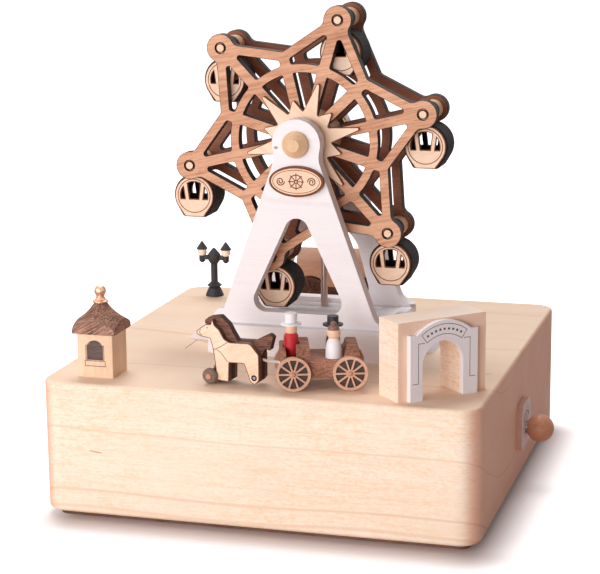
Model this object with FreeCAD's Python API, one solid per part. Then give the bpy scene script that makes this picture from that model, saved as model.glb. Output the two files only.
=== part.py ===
import FreeCAD, Part
import math
import os

# Hand-cranked wooden ferris wheel music toy.  Millimetres, +Z up, +X towards
# the winding knob, front of the toy towards -Y.  The origin is the middle of
# the flat face that the toy rests on.

V = FreeCAD.Vector
X_AXIS = V(1, 0, 0)
Y_AXIS = V(0, 1, 0)
Z_AXIS = V(0, 0, 1)

# --- base block, a solid of maple hollowed from below
BASE_W = 150.0
BASE_D = 154.0
BASE_H = 45.4
BASE_CORNER_R = 7.5
BASE_TOP_R = 1.2
BASE_BOTTOM_R = 1.6
POCKET_WALL = 6.0
DECK_T = 5.0
PLATE_INSET = 4.0
PLATE_PROUD = 2.0
PLATE_LET_IN = 2.0
PLATE_FIT = 0.2

# --- fits between parts
RUN_FIT = 0.05
PRESS_FIT = 0.01
SIDE_GAP = 0.2
DECK_GAP = 0.2

# --- wheel
AXLE_RISE = 63.9
PIN_CIRCLE_R = 43.45
LOBES = 6
FIRST_LOBE_DEG = 13.5
LOBE_R = 4.9
PLATE_T = 3.6
FRONT_STAR_Y = -13.6
PLATE_GAP = 14.1
RIM_R = 26.65
RIM_W = 3.05
SPOKE_W = 3.8
BRACE_W = 3.2
VALLEY_R = 31.7
STAR_HUB_R = 9.0
LOBE_NECK_AT = 41.1
LOBE_NECK_FILLET = 3.0
VALLEY_FILLET = 1.4
OUTER_WINDOW_R = 0.9
INNER_WINDOW_R = 0.4
AXLE_R = 3.0
SPOOL_R = 9.0
COLLAR_R = 4.5
PIN_R = 1.5
PIN_HOLE_R = 1.57
PIN_MOUTH_R = 1.95
PIN_MOUTH_DEPTH = 1.2
SUNBURST_T = 1.5
SUNBURST_LONG_R = 23.2
SUNBURST_SHORT_R = 15.0
SUNBURST_VALLEY_R = 10.3
SUNBURST_TIP_R = 0.6
CAP_R = 4.6
CAP_FLAT_R = 2.2
CAP_H = 4.0

# --- cabins
CABIN_DROP = 11.55
CABIN_R = 7.75
CABIN_WALL = 1.3
CABIN_FLOOR_DROP = 7.8
CABIN_FLOOR_HALF = 4.4
CABIN_CORNER_R = 1.5
CABIN_RING_R = 3.3
CABIN_NECK_W = 3.4
CABIN_DEPTH = 10.6
HANGER_DEPTH = 6.4
NECK_FILLET = 0.7
CABIN_FACE_T = 1.2
CABIN_FACE_R = 7.2
CABIN_FACE_FLOOR = 7.6
CABIN_FACE_HALF = 3.45
CABIN_FACE_CORNER_R = 0.8
WINDOW_SILL = 1.15
WINDOW_R = 5.1
MULLION_W = 1.65
MULLION_X = 2.55
MULLION_LEAN_DEG = 7.0

# --- stand and A-frames
STAND_HALF_W = 32.5
STAND_FRONT_Y = -26.8
STAND_BACK_Y = 21.3
STAND_H = 10.7
STAND_EDGE_R = 0.5
GEAR_ROOM_ROOF = 3.0
SLOT_Y = 10.6
SLOT_W = 5.4
SLOT_HALF_L = 22.0
SLOT_DEPTH = 1.2
RAMP_RUN = 13.1
RAMP_HEAD_OUT = 1.1
RAMP_LIP_L = 2.3
RAMP_FRONT_Y = -9.4
RAMP_W = 14.0
RAMP_LIP_T = 1.6
FRAME_T = 5.3
FRONT_SET_BACK = 3.5
REAR_SET_BACK = 1.0
FRAME_HEAD_R = 8.6
FRAME_NECK_X = 10.6
FRAME_NECK_DROP = 13.0
FRAME_NECK_FILLET = 9.0
FRAME_TOE_INSET = 0.9
FRAME_TOE_L = 3.2
FRAME_TOE_T = 1.0
FRAME_TOE_FILLET = 6.0
FRONT_RAIL = 4.5
REAR_RAIL = 1.7
FRONT_LEG_W = 9.9
WINDOW_APEX_DROP = 19.9
WINDOW_TOP_R = 4.3
WINDOW_FOOT_R = 4.4
REAR_LEG_W = 11.2
ARCH_HALF_TOP = 9.9
ARCH_TOP_DROP = 34.6
ARCH_TOP_R = 11.8
BUSH_WALL = 1.4

# --- oval plaque on the front frame
PLAQUE_W = 19.4
PLAQUE_H = 10.7
PLAQUE_X = 0.5
PLAQUE_T = 1.8
PLAQUE_DROP = 12.6

# --- drive train
ROD_Y = 11.5
ROD_R = 1.25
CENTRE_SHAFT_R = 2.0
CRANK_Z = 20.4
CRANK_R = 2.0
HUB_MODULE = 1.0
HUB_TEETH = 14
ROD_TEETH = 9
HUB_GEAR_T = 3.5
FACE_MODULE = 0.8
FACE_TEETH = 48
FACE_PINION_TEETH = 10
FACE_WIDTH = 2.4
FACE_DISC_T = 2.0
TOP_MODULE = 0.5
TOP_TEETH = 36
TOP_PINION_TEETH = 9
TOP_FACE_WIDTH = 1.6
MUSIC_MODULE = 0.8
MUSIC_PINION_TEETH = 12
MUSIC_TEETH = 24
MUSIC_GEAR_T = 2.4
BACKLASH = 0.2

# --- magnet arm under the deck
ARM_W = 9.0
ARM_T = 3.0
ARM_GAP = 0.5
MAGNET_R = 4.0
MAGNET_T = 3.0

# --- bracket at the top of the drive rod
BRACKET_DROP = 20.5
BRACKET_W = 7.0
BRACKET_T = 4.0
BRACKET_NOSE = 2.6

# --- music movement
DRUM_R = 6.5
DRUM_L = 15.0
DRUM_END_GAP = 1.0
PIN_ROWS = 12
PIN_H = 0.7
PIN_W = 0.6
POST_T = 2.5
BED_T = 2.5
COMB_T = 1.0
COMB_TEETH = 15
COMB_TOOTH_L = 9.0
COMB_BACK_L = 7.0
COMB_PIN_GAP = 0.15
MOVEMENT_INWARDS = 0.58463

# --- winding knob and its plate on the right side
KNOB_R = 4.9
KNOB_STAND_OUT = 7.1
TENON_R = 1.2
TENON_L = 4.5
KNOB_FLAT_DEPTH = 0.5
CRANK_PLATE_T = 2.2
CRANK_PLATE_W = 18.0
CRANK_PLATE_H = 15.7
CRANK_PLATE_BELOW = 6.1
CRANK_PLATE_R = 4.5

# --- things standing on the deck
KIOSK_FROM_SIDE = 17.1
KIOSK_FROM_FRONT = 15.5
KIOSK_W = 12.8
KIOSK_H = 15.0
KIOSK_SILL_H = 6.0
KIOSK_WINDOW_W = 5.9
KIOSK_WINDOW_H = 6.7
KIOSK_WINDOW_DEPTH = 0.3
ROOF_W = 15.2
ROOF_BELL = [(2.2, 9.5), (3.6, 7.6), (5.6, 5.6), (7.6, 4.1), (9.4, 2.9), (10.9, 1.1)]
FINIAL_R = 2.0
LAMP_FROM_SIDE = 15.2
LAMP_FROM_BACK = 15.5
LAMP_POST_R = 1.35
LAMP_ARM_T = 1.7
LANTERN_X = 5.0
LANTERN_Z = 16.3
LANTERN_H = 2.5
LANTERN_R = 1.75
GATE_FROM_SIDE = 19.45
GATE_FROM_FRONT = 19.9
GATE_TURN_DEG = 45.0
GATE_L = 33.7
GATE_T = 11.7
GATE_H = 25.9
ARCH_W = 15.5
ARCH_SPRING = 11.2
ARCH_SHIFT = -1.0
GATE_PLATE_T = 2.0
GATE_PLATE_W = 25.6
GATE_SHOULDER_H = 21.7
GATE_CROWN_H = 25.6
GATE_CROWN_W = 20.5
GATE_PLATE_SHIFT = -0.5

# --- horse and wedding cart, on a round track over the magnets
TRACK_INSET = 8.7
CART_DEG = -71.2
TOW_REACH = 27.152785
HORSE_OUTWARDS = 3.4
HORSE_LEAD = 1.9
CART_W = 15.0
CART_AXLE_FRONT = -10.9
CART_AXLE_REAR = 7.7
CART_WHEEL_R = 5.7
CART_WHEEL_T = 1.6
CART_AXLE_R = 0.9
SPOKES = 10
HORSE_SIDE_T = 2.0
HORSE_CORE_T = 2.8
HORSE_WHEEL_R = 2.6
HORSE_WHEEL_T = 1.6
HORSE_AXLE_R = 0.7
TOW_CORD_R = 0.45
WAGON_DEG = 96.7
WAGON_L = 32.0
WAGON_W = 15.0
WAGON_RIDGE = 21.7
WAGON_FLOOR = 7.7
WAGON_CHASSIS_Z = 4.5
WAGON_ROOF_R = 9.6
WAGON_AXLE_X = 10.5

# --- derived places
SIDE_X = BASE_W / 2
POCKET_R = min(BASE_W, BASE_D) / 2 - POCKET_WALL
TRACK_R = POCKET_R - TRACK_INSET
HORSE_R = TRACK_R + HORSE_OUTWARDS
HORSE_DEG = CART_DEG - math.degrees(TOW_REACH / TRACK_R)
WAGON_R = TRACK_R
KIOSK_X = KIOSK_FROM_SIDE - BASE_W / 2
KIOSK_Y = KIOSK_FROM_FRONT - BASE_D / 2
LAMP_X = LAMP_FROM_SIDE - BASE_W / 2
LAMP_Y = BASE_D / 2 - LAMP_FROM_BACK
GATE_X = BASE_W / 2 - GATE_FROM_SIDE
GATE_Y = GATE_FROM_FRONT - BASE_D / 2
RAMP_TOE_X = STAND_HALF_W + RAMP_RUN
RAMP_HEAD_X = STAND_HALF_W + RAMP_HEAD_OUT
RAMP_LIP_X = STAND_HALF_W - RAMP_LIP_L
BLOCK_Z = PLATE_PROUD
DECK_Z = BLOCK_Z + BASE_H
POCKET_TOP_Z = DECK_Z - DECK_T
FLOOR_Z = PLATE_PROUD + PLATE_LET_IN
STAND_Z = DECK_Z + STAND_H
AXLE_Z = STAND_Z + AXLE_RISE
FRAME_TOE_X = STAND_HALF_W - FRAME_TOE_INSET
FRAME_FOOT_X = FRAME_TOE_X - FRAME_TOE_L
WINDOW_HALF_W = FRAME_FOOT_X - FRONT_LEG_W
ARCH_HALF_FOOT = FRAME_FOOT_X - REAR_LEG_W
FRAME_FRONT_Y = STAND_FRONT_Y + FRONT_SET_BACK
FRAME_REAR_Y = STAND_BACK_Y - REAR_SET_BACK - FRAME_T
FRONT_STAR_BACK = FRONT_STAR_Y + PLATE_T
REAR_STAR_Y = FRONT_STAR_BACK + PLATE_GAP
CABIN_FRONT_Y = FRONT_STAR_BACK + 0.5 + CABIN_FACE_T
REAR_STAR_BACK = REAR_STAR_Y + PLATE_T
SUNBURST_Y = FRONT_STAR_Y - SUNBURST_T
AXLE_BUSH_R = AXLE_R + BUSH_WALL
HUB_GEAR_R = HUB_MODULE * HUB_TEETH / 2
FACE_R = FACE_MODULE * FACE_TEETH / 2
TOP_R = TOP_MODULE * TOP_TEETH / 2
FACE_PINION_R = FACE_MODULE * FACE_PINION_TEETH / 2
TOP_PINION_R = TOP_MODULE * TOP_PINION_TEETH / 2
MUSIC_Y = -MUSIC_MODULE * (MUSIC_PINION_TEETH + MUSIC_TEETH) / 2
HUB_GEAR_Z = DECK_Z + 0.7
ROD_TOP_Z = AXLE_Z - TOP_R + TOP_FACE_WIDTH / 2 + 0.4
KNOB_X = SIDE_X + KNOB_STAND_OUT
KNOB_FLAT_X = KNOB_X - KNOB_R + KNOB_FLAT_DEPTH


# ---------------------------------------------------------------- helpers
def box(x0, x1, y0, y1, z0, z1):
    return Part.makeBox(x1 - x0, y1 - y0, z1 - z0, V(x0, y0, z0))


def rod(radius, start, axis, length):
    return Part.makeCylinder(radius, length, start, axis)


def tube(outer, inner, start, axis, length):
    return rod(outer, start, axis, length).cut(rod(inner, start, axis, length))


def fuse(shapes):
    first = shapes[0]
    if len(shapes) == 1:
        return first
    return first.multiFuse(shapes[1:]).removeSplitter()


def flat(plane, u, v, depth):
    """The 3-D point of (u, v) in a plane named by its two axes."""
    if plane == "xz":
        return V(u, depth, v)
    if plane == "yz":
        return V(depth, u, v)
    return V(u, v, depth)


def normal(plane):
    return {"xz": Y_AXIS, "yz": X_AXIS, "xy": Z_AXIS}[plane]


def outline(points, plane, depth):
    """A closed wire through (u, v, corner radius) points, round ones as arcs."""
    count = len(points)
    starts = []
    arcs = []
    for i in range(count):
        u, v, radius = points[i]
        before = points[i - 1]
        after = points[(i + 1) % count]
        to_before = V(before[0] - u, before[1] - v, 0)
        to_after = V(after[0] - u, after[1] - v, 0)
        to_before.normalize()
        to_after.normalize()
        if radius <= 0:
            starts.append((V(u, v, 0), V(u, v, 0)))
            arcs.append(None)
            continue
        half = to_before.getAngle(to_after) / 2
        reach = radius / math.tan(half)
        middle = to_before + to_after
        middle.normalize()
        corner = V(u, v, 0)
        centre = corner + middle * (radius / math.sin(half))
        enter = corner + to_before * reach
        leave = corner + to_after * reach
        starts.append((enter, leave))
        arcs.append(centre - middle * radius)
    edges = []
    for i in range(count):
        enter, leave = starts[i]
        if arcs[i] is not None:
            ends = [flat(plane, p.x, p.y, depth) for p in (enter, arcs[i], leave)]
            edges.append(Part.Arc(*ends).toShape())
        following = starts[(i + 1) % count][0]
        if (following - leave).Length > 1e-6:
            ends = [flat(plane, p.x, p.y, depth) for p in (leave, following)]
            edges.append(Part.makeLine(*ends))
    return Part.Wire(edges)


def slab(points, plane, depth, thickness):
    """A flat plate cut to a rounded outline, from depth to depth + thickness."""
    face = Part.Face(outline(points, plane, depth))
    return face.extrude(normal(plane) * thickness)


def sharp(points):
    return [(u, v, 0) for u, v in points]


def turned(profile, centre, axis):
    """A turned piece: (radius, height) points along the axis from the centre."""
    points = [V(radius, 0, height) for radius, height in profile]
    points = [V(0, 0, profile[0][1])] + points + [V(0, 0, profile[-1][1])]
    clean = [points[0]]
    for point in points[1:]:
        if (point - clean[-1]).Length > 1e-6:
            clean.append(point)
    if (clean[0] - clean[-1]).Length > 1e-6:
        clean.append(clean[0])
    solid = Part.Face(Part.makePolygon(clean)).revolve(V(0, 0, 0), Z_AXIS, 360)
    spin = FreeCAD.Rotation(Z_AXIS, axis)
    solid.Placement = FreeCAD.Placement(centre, spin)
    return solid


def swing(shape, centre, axis, degrees):
    copy = shape.copy()
    copy.rotate(centre, axis, degrees)
    return copy


def shift(shape, x, y, z):
    copy = shape.copy()
    copy.translate(V(x, y, z))
    return copy


def edges_along(shape, axis, test):
    found = []
    for edge in shape.Edges:
        if edge.Curve.TypeId != "Part::GeomLine":
            continue
        if edge.tangentAt(edge.FirstParameter).cross(axis).Length > 1e-6:
            continue
        if test(edge.CenterOfMass):
            found.append(edge)
    return found


def polar(radius, degrees):
    angle = math.radians(degrees)
    return radius * math.cos(angle), radius * math.sin(angle)


# ---------------------------------------------------------------- gears
def spur_gear(module, teeth, thickness, bore, first_deg):
    """A spur gear on the Z axis from z = 0, one tooth at first_deg."""
    pitch_r = module * teeth / 2
    tip_r = pitch_r + module
    root_r = pitch_r - 1.2 * module
    step = 360 / teeth
    pitch_half = math.degrees((math.pi * module / 2 - BACKLASH) / (2 * pitch_r))
    flank = [(root_r, 1.45), (pitch_r, 1.0), (tip_r, 0.42)]
    points = []
    for tooth in range(teeth):
        middle = first_deg + tooth * step
        for radius, share in flank:
            points.append(polar(radius, middle - share * pitch_half))
        for radius, share in reversed(flank):
            points.append(polar(radius, middle + share * pitch_half))
    blank = slab(sharp(points), "xy", 0, thickness)
    if bore > 0:
        blank = blank.cut(rod(bore, V(0, 0, -1), Z_AXIS, thickness + 2))
    return blank


def crown_gear(module, teeth, width, disc_t, bore, first_deg):
    """A face gear: a disc from z = 0 up, with radial teeth standing on it."""
    pitch_r = module * teeth / 2
    outer = pitch_r + width / 2
    half = (math.pi * module / 2 - BACKLASH) / 2
    base = disc_t - 0.05
    top = disc_t + 2.15 * module
    pitch = disc_t + 1.15 * module
    profile = [(-1.4 * half, base), (-half, pitch), (-0.5 * half, top)]
    profile += [(-u, v) for u, v in reversed(profile)]
    tooth = slab(sharp(profile), "yz", pitch_r - width / 2, width)
    solids = [rod(outer, V(0, 0, 0), Z_AXIS, disc_t)]
    for number in range(teeth):
        angle = first_deg + (number + 0.5) * 360 / teeth
        solids.append(swing(tooth, V(0, 0, 0), Z_AXIS, angle))
    gear = fuse(solids)
    return gear.cut(rod(bore, V(0, 0, -1), Z_AXIS, top + 2))


# ---------------------------------------------------------------- base
def rounded_block(width, depth, z0, z1, corner, top, bottom):
    block = box(-width / 2, width / 2, -depth / 2, depth / 2, z0, z1)
    block = block.makeFillet(corner, edges_along(block, Z_AXIS, lambda c: True))
    for level, radius in ((z1, top), (z0, bottom)):
        if radius > 0:
            rim = [e for e in block.Edges if abs(e.BoundBox.ZMin - level) < 1e-6
                   and abs(e.BoundBox.ZMax - level) < 1e-6]
            block = block.makeFillet(radius, rim)
    return block


def plate_size(extra):
    return BASE_W - 2 * PLATE_INSET + extra, BASE_D - 2 * PLATE_INSET + extra


def screw_places():
    inset = PLATE_INSET + 6.5
    x = BASE_W / 2 - inset
    y = BASE_D / 2 - inset
    return [(x, y), (-x, y), (-x, -y), (x, -y)]


SCREW_HEAD_R = 3.0
SCREW_HEAD_T = 1.6
SCREW_R = 1.4
SCREW_L = 12.0
DECK_BUSH_R = 4.0
FOOT_BEARING_R = 5.0
CRANK_BUSH_R = 3.6


def base_block():
    block = rounded_block(BASE_W, BASE_D, BLOCK_Z, DECK_Z,
                          BASE_CORNER_R, BASE_TOP_R, BASE_BOTTOM_R)
    width, depth = plate_size(2 * PLATE_FIT)
    corner = BASE_CORNER_R - PLATE_INSET + PLATE_FIT
    rebate = rounded_block(width, depth, BLOCK_Z - 1, FLOOR_Z, corner, 0, 0)
    pocket = rod(POCKET_R, V(0, 0, BLOCK_Z), Z_AXIS, POCKET_TOP_Z - BLOCK_Z)
    bush = rod(DECK_BUSH_R + PRESS_FIT, V(0, 0, POCKET_TOP_Z - 1), Z_AXIS, DECK_T + 2)
    rod_seat = rod(ROD_R + RUN_FIT, V(0, ROD_Y, DECK_Z - 3), Z_AXIS, 4)
    crank = rod(CRANK_BUSH_R + PRESS_FIT, V(POCKET_R - 4, 0, CRANK_Z), X_AXIS, SIDE_X)
    cuts = [rebate, pocket, bush, rod_seat, crank]
    for x, y in screw_places():
        cuts.append(rod(SCREW_R + PRESS_FIT, V(x, y, BLOCK_Z), Z_AXIS, SCREW_L))
    return block.cut(fuse_loose(cuts))


def fuse_loose(shapes):
    return Part.makeCompound(shapes) if not shapes else shapes[0].multiFuse(shapes[1:])


def bottom_plate():
    width, depth = plate_size(0)
    corner = BASE_CORNER_R - PLATE_INSET
    plate = rounded_block(width, depth, 0, FLOOR_Z, corner, 0, 0)
    for x, y in screw_places():
        plate = plate.cut(rod(SCREW_R + PRESS_FIT, V(x, y, -1), Z_AXIS, FLOOR_Z + 2))
        plate = plate.cut(rod(SCREW_HEAD_R + PLATE_FIT, V(x, y, -1), Z_AXIS,
                              SCREW_HEAD_T + 1.2))
    return plate


def base_screws():
    profile = [(SCREW_HEAD_R, 0), (SCREW_HEAD_R, 0.6), (SCREW_R, SCREW_HEAD_T),
               (SCREW_R, SCREW_L - 1.5), (0, SCREW_L)]
    return [turned(profile, V(x, y, 0.2), Z_AXIS) for x, y in screw_places()]


def brass_bushes():
    """Brass bearings of the centre shaft, the knob shaft and the wheel's axle."""
    deck = tube(DECK_BUSH_R, CENTRE_SHAFT_R + RUN_FIT, V(0, 0, POCKET_TOP_Z),
                Z_AXIS, DECK_T)
    foot = rod(FOOT_BEARING_R, V(0, 0, FLOOR_Z), Z_AXIS, 5)
    foot = foot.cut(rod(CENTRE_SHAFT_R + RUN_FIT, V(0, 0, FLOOR_Z + 1), Z_AXIS, 5))
    wall = tube(CRANK_BUSH_R, CRANK_R + RUN_FIT, V(POCKET_R - 2.5, 0, CRANK_Z),
                X_AXIS, SIDE_X - POCKET_R + 2.5)
    axle = [tube(AXLE_BUSH_R, AXLE_R + RUN_FIT, V(0, y, AXLE_Z), Y_AXIS, FRAME_T)
            for y in (FRAME_FRONT_Y, FRAME_REAR_Y)]
    return [deck, foot, wall] + axle


# ---------------------------------------------------------------- stand
def gear_room(extra):
    height = STAND_H - GEAR_ROOM_ROOF
    hub = rod(HUB_GEAR_R + HUB_MODULE + 1.2 + extra, V(0, 0, DECK_Z), Z_AXIS, height)
    pinion_r = HUB_MODULE * (ROD_TEETH / 2 + 1) + 1.0
    pinion = rod(pinion_r + extra, V(0, ROD_Y, DECK_Z), Z_AXIS, height)
    return hub.fuse(pinion)


def stand_block():
    block = box(-STAND_HALF_W, STAND_HALF_W, STAND_FRONT_Y, STAND_BACK_Y,
                DECK_Z, STAND_Z)
    block = block.makeFillet(1.2, edges_along(block, Z_AXIS, lambda c: True))
    rim = [e for e in block.Edges if e.BoundBox.ZMin > STAND_Z - 1e-6]
    block = block.makeFillet(STAND_EDGE_R, rim)
    slot = box(-SLOT_HALF_L, SLOT_HALF_L, SLOT_Y - SLOT_W / 2, SLOT_Y + SLOT_W / 2,
               STAND_Z - SLOT_DEPTH, STAND_Z + 1)
    slot = slot.makeFillet(SLOT_W / 2 - 0.01, edges_along(slot, Z_AXIS, lambda c: True))
    passage = rod(ROD_R + 0.15, V(0, ROD_Y, DECK_Z), Z_AXIS, STAND_H + 1)
    return block.cut(gear_room(0)).cut(slot).cut(passage)


def boarding_ramps():
    """Wedges up both ends of the stand, with a lip that lies on its top."""
    top = STAND_Z + RAMP_LIP_T
    wedge = [(STAND_HALF_W, DECK_Z, 0), (RAMP_TOE_X, DECK_Z, 0), (RAMP_HEAD_X, top, 0.4),
             (RAMP_LIP_X, top, 0.4), (RAMP_LIP_X, STAND_Z, 0), (STAND_HALF_W, STAND_Z, 0)]
    mirrored = [(-u, v, r) for u, v, r in reversed(wedge)]
    return [slab(side, "xz", RAMP_FRONT_Y, RAMP_W) for side in (wedge, mirrored)]


def front_window():
    """Tall triangle with round corners, its apex under the axle."""
    sill = STAND_Z + FRONT_RAIL
    return [(WINDOW_HALF_W, sill, WINDOW_FOOT_R),
            (0, AXLE_Z - WINDOW_APEX_DROP, WINDOW_TOP_R),
            (-WINDOW_HALF_W, sill, WINDOW_FOOT_R)]


def rear_window():
    """Lower arch, open almost down to the stand."""
    sill = STAND_Z + REAR_RAIL
    top = AXLE_Z - ARCH_TOP_DROP
    return [(ARCH_HALF_FOOT, sill, WINDOW_FOOT_R), (ARCH_HALF_TOP, top, ARCH_TOP_R),
            (-ARCH_HALF_TOP, top, ARCH_TOP_R), (-ARCH_HALF_FOOT, sill, WINDOW_FOOT_R)]


def a_frame(y0, window):
    """Two legs on toes and a round head, cut from one board round a window."""
    top = AXLE_Z - FRAME_NECK_DROP
    toe = STAND_Z + FRAME_TOE_T
    lean = (FRAME_FOOT_X - FRAME_NECK_X) / (top - toe)
    peak = AXLE_Z - 4
    peak_x = FRAME_NECK_X - lean * (peak - top)
    right = [(FRAME_TOE_X, STAND_Z, 0), (FRAME_TOE_X, toe, 0.4),
             (FRAME_FOOT_X, toe, FRAME_TOE_FILLET), (peak_x, peak, 0)]
    left = [(-u, v, r) for u, v, r in reversed(right)]
    legs = slab(right + left, "xz", y0, FRAME_T)
    head = rod(FRAME_HEAD_R, V(0, y0, AXLE_Z), Y_AXIS, FRAME_T)
    frame = legs.fuse(head).removeSplitter()
    neck = edges_along(frame, Y_AXIS, lambda c: AXLE_Z - 12 < c.z < AXLE_Z - 3
                       and 3 < abs(c.x) < FRAME_HEAD_R)
    frame = frame.makeFillet(FRAME_NECK_FILLET, neck)
    frame = frame.cut(slab(window, "xz", y0 - 1, FRAME_T + 2))
    bore = rod(AXLE_BUSH_R + PRESS_FIT, V(0, y0 - 1, AXLE_Z), Y_AXIS, FRAME_T + 2)
    return frame.cut(bore)


def plaque():
    """Slice of a branch: an oval with a bark edge, glued on the front frame."""
    z = AXLE_Z - PLAQUE_DROP
    centre = V(PLAQUE_X, FRAME_FRONT_Y, z)
    ellipse = Part.Ellipse(centre, PLAQUE_W / 2, PLAQUE_H / 2)
    shape = Part.Wire(ellipse.toShape())
    shape.rotate(centre, X_AXIS, 90)
    return Part.Face(shape).extrude(V(0, -PLAQUE_T, 0))


def rod_bracket():
    """The arm on the rear frame that steadies the top of the drive rod."""
    z0 = AXLE_Z - BRACKET_DROP
    arm = box(-BRACKET_W / 2, BRACKET_W / 2, ROD_Y - BRACKET_NOSE, FRAME_REAR_Y,
              z0, z0 + BRACKET_T)
    round_end = edges_along(arm, Z_AXIS, lambda c: c.y < ROD_Y)
    arm = arm.makeFillet(2.2, round_end)
    return arm.cut(rod(ROD_R + RUN_FIT, V(0, ROD_Y, z0 - 1), Z_AXIS, BRACKET_T + 2))


# ---------------------------------------------------------------- wheel
def star_plate():
    """One plate of the wheel: six lobes on a spoked rim, y from 0 to PLATE_T."""
    valley_r = VALLEY_R - BRACE_W * 0.62
    solids = [rod(STAR_HUB_R, V(0, 0, 0), Y_AXIS, PLATE_T),
              tube(RIM_R, RIM_R - RIM_W, V(0, 0, 0), Y_AXIS, PLATE_T)]
    step = 360 / LOBES
    for lobe in range(LOBES):
        middle = FIRST_LOBE_DEG + lobe * step
        u, v = polar(PIN_CIRCLE_R, middle)
        solids.append(rod(LOBE_R, V(u, 0, v), Y_AXIS, PLATE_T))
        solids.append(bar((0, 0), (u, v), SPOKE_W))
        valley = polar(valley_r, middle + step / 2)
        solids.append(bar((0, 0), valley, SPOKE_W))
        following = polar(PIN_CIRCLE_R, middle + step)
        solids.append(bar((u, v), valley, BRACE_W))
        solids.append(bar(following, valley, BRACE_W))
        solids.append(rod(BRACE_W / 2, V(valley[0], 0, valley[1]), Y_AXIS, PLATE_T))
    plate = fuse(solids)
    for low, high, radius in ((LOBE_NECK_AT - 0.1, LOBE_NECK_AT + 0.1, LOBE_NECK_FILLET),
                              (VALLEY_R - 0.5, VALLEY_R, VALLEY_FILLET)):
        corners = edges_along(plate, Y_AXIS, lambda c: low < math.hypot(c.x, c.z) < high)
        plate = plate.makeFillet(radius, corners)
    plate = fuse([plate] + window_corners(plate))
    plate = plate.cut(rod(COLLAR_R + PRESS_FIT, V(0, -1, 0), Y_AXIS, PLATE_T + 2))
    for u, v in lobe_centres():
        plate = plate.cut(rod(PIN_HOLE_R, V(u, -1, v), Y_AXIS, PLATE_T + 2))
        plate = plate.cut(rod(PIN_MOUTH_R, V(u, -1, v), Y_AXIS, 1 + PIN_MOUTH_DEPTH))
    return plate


def window_corners(plate):
    """What the cutter's radius leaves standing in the corners of each window."""
    front = [face for face in plate.Faces if face.BoundBox.YMax < 1e-6][0]
    corners = []
    for wire in front.Wires:
        if wire.isSame(front.OuterWire):
            continue
        window = Part.Face(Part.Wire(wire.Edges))
        middle = window.CenterOfMass
        outside = math.hypot(middle.x, middle.z) > RIM_R
        radius = OUTER_WINDOW_R if outside else INNER_WINDOW_R
        cut = window.makeOffset2D(-radius).makeOffset2D(radius)
        for face in window.cut(cut).Faces:
            if face.Area > 0.001:
                corners.append(face.extrude(V(0, PLATE_T, 0)))
    return corners


def bar(start, end, width):
    """A straight flat bar between two points of the wheel's plane."""
    du = end[0] - start[0]
    dv = end[1] - start[1]
    length = math.hypot(du, dv)
    angle = math.degrees(math.atan2(dv, du))
    piece = box(0, length, 0, PLATE_T, -width / 2, width / 2)
    piece = swing(piece, V(0, 0, 0), Y_AXIS, -angle)
    return shift(piece, start[0], 0, start[1])


def lobe_centres():
    step = 360 / LOBES
    return [polar(PIN_CIRCLE_R, FIRST_LOBE_DEG + lobe * step) for lobe in range(LOBES)]


def sunburst():
    """Twelve-pointed star on the front plate, long points at the lobes."""
    points = []
    step = 360 / (2 * LOBES)
    for ray in range(2 * LOBES):
        angle = FIRST_LOBE_DEG + ray * step
        tip = SUNBURST_LONG_R if ray % 2 == 0 else SUNBURST_SHORT_R
        points.append((*polar(tip, angle), SUNBURST_TIP_R))
        points.append((*polar(SUNBURST_VALLEY_R, angle + step / 2), 0.4))
    burst = slab(points, "xz", SUNBURST_Y, SUNBURST_T)
    burst = shift(burst, 0, 0, AXLE_Z)
    return burst.cut(rod(COLLAR_R + PRESS_FIT, V(0, SUNBURST_Y - 1, AXLE_Z), Y_AXIS, 4))


def wheel_axle():
    start = FRAME_FRONT_Y - CAP_H + 1.0
    end = FRAME_REAR_Y + FRAME_T + CAP_H - 1.0
    return rod(AXLE_R, V(0, start, AXLE_Z), Y_AXIS, end - start)


def hub_spool():
    """Turned spool between the frames; its waist carries both star plates."""
    start = FRAME_FRONT_Y + FRAME_T + SIDE_GAP
    end = FRAME_REAR_Y - SIDE_GAP
    length = end - start
    front = FRONT_STAR_BACK - start
    back = REAR_STAR_Y - start
    profile = [(COLLAR_R, 0), (COLLAR_R, front), (SPOOL_R, front), (SPOOL_R, back),
               (COLLAR_R, back), (COLLAR_R, length)]
    spool = turned(profile, V(0, start, AXLE_Z), Y_AXIS)
    return spool.cut(rod(AXLE_R + PRESS_FIT, V(0, start - 1, AXLE_Z), Y_AXIS, length + 2))


def hub_caps():
    """Chamfered wooden buttons on both ends of the axle."""
    profile = [(CAP_R, SIDE_GAP), (CAP_R, 1.4), (CAP_FLAT_R, CAP_H)]
    front = turned(profile, V(0, FRAME_FRONT_Y, AXLE_Z), -Y_AXIS)
    rear = turned(profile, V(0, FRAME_REAR_Y + FRAME_T, AXLE_Z), Y_AXIS)
    hole = wheel_axle_hole()
    return [front.cut(hole), rear.cut(hole)]


def wheel_axle_hole():
    axle = wheel_axle()
    start = axle.BoundBox.YMin
    return rod(AXLE_R + PRESS_FIT, V(0, start - 0.01, AXLE_Z), Y_AXIS,
               axle.BoundBox.YLength + 0.02)


def wheel_crown():
    """Face gear behind the rear plate, driven by the pinion on the rod."""
    disc_t = ROD_Y - TOP_PINION_R - 1.15 * TOP_MODULE - REAR_STAR_BACK
    gear = crown_gear(TOP_MODULE, TOP_TEETH, TOP_FACE_WIDTH, disc_t,
                      COLLAR_R + PRESS_FIT, 90)
    gear.rotate(V(0, 0, 0), X_AXIS, -90)
    return shift(gear, 0, REAR_STAR_BACK, AXLE_Z)


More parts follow.
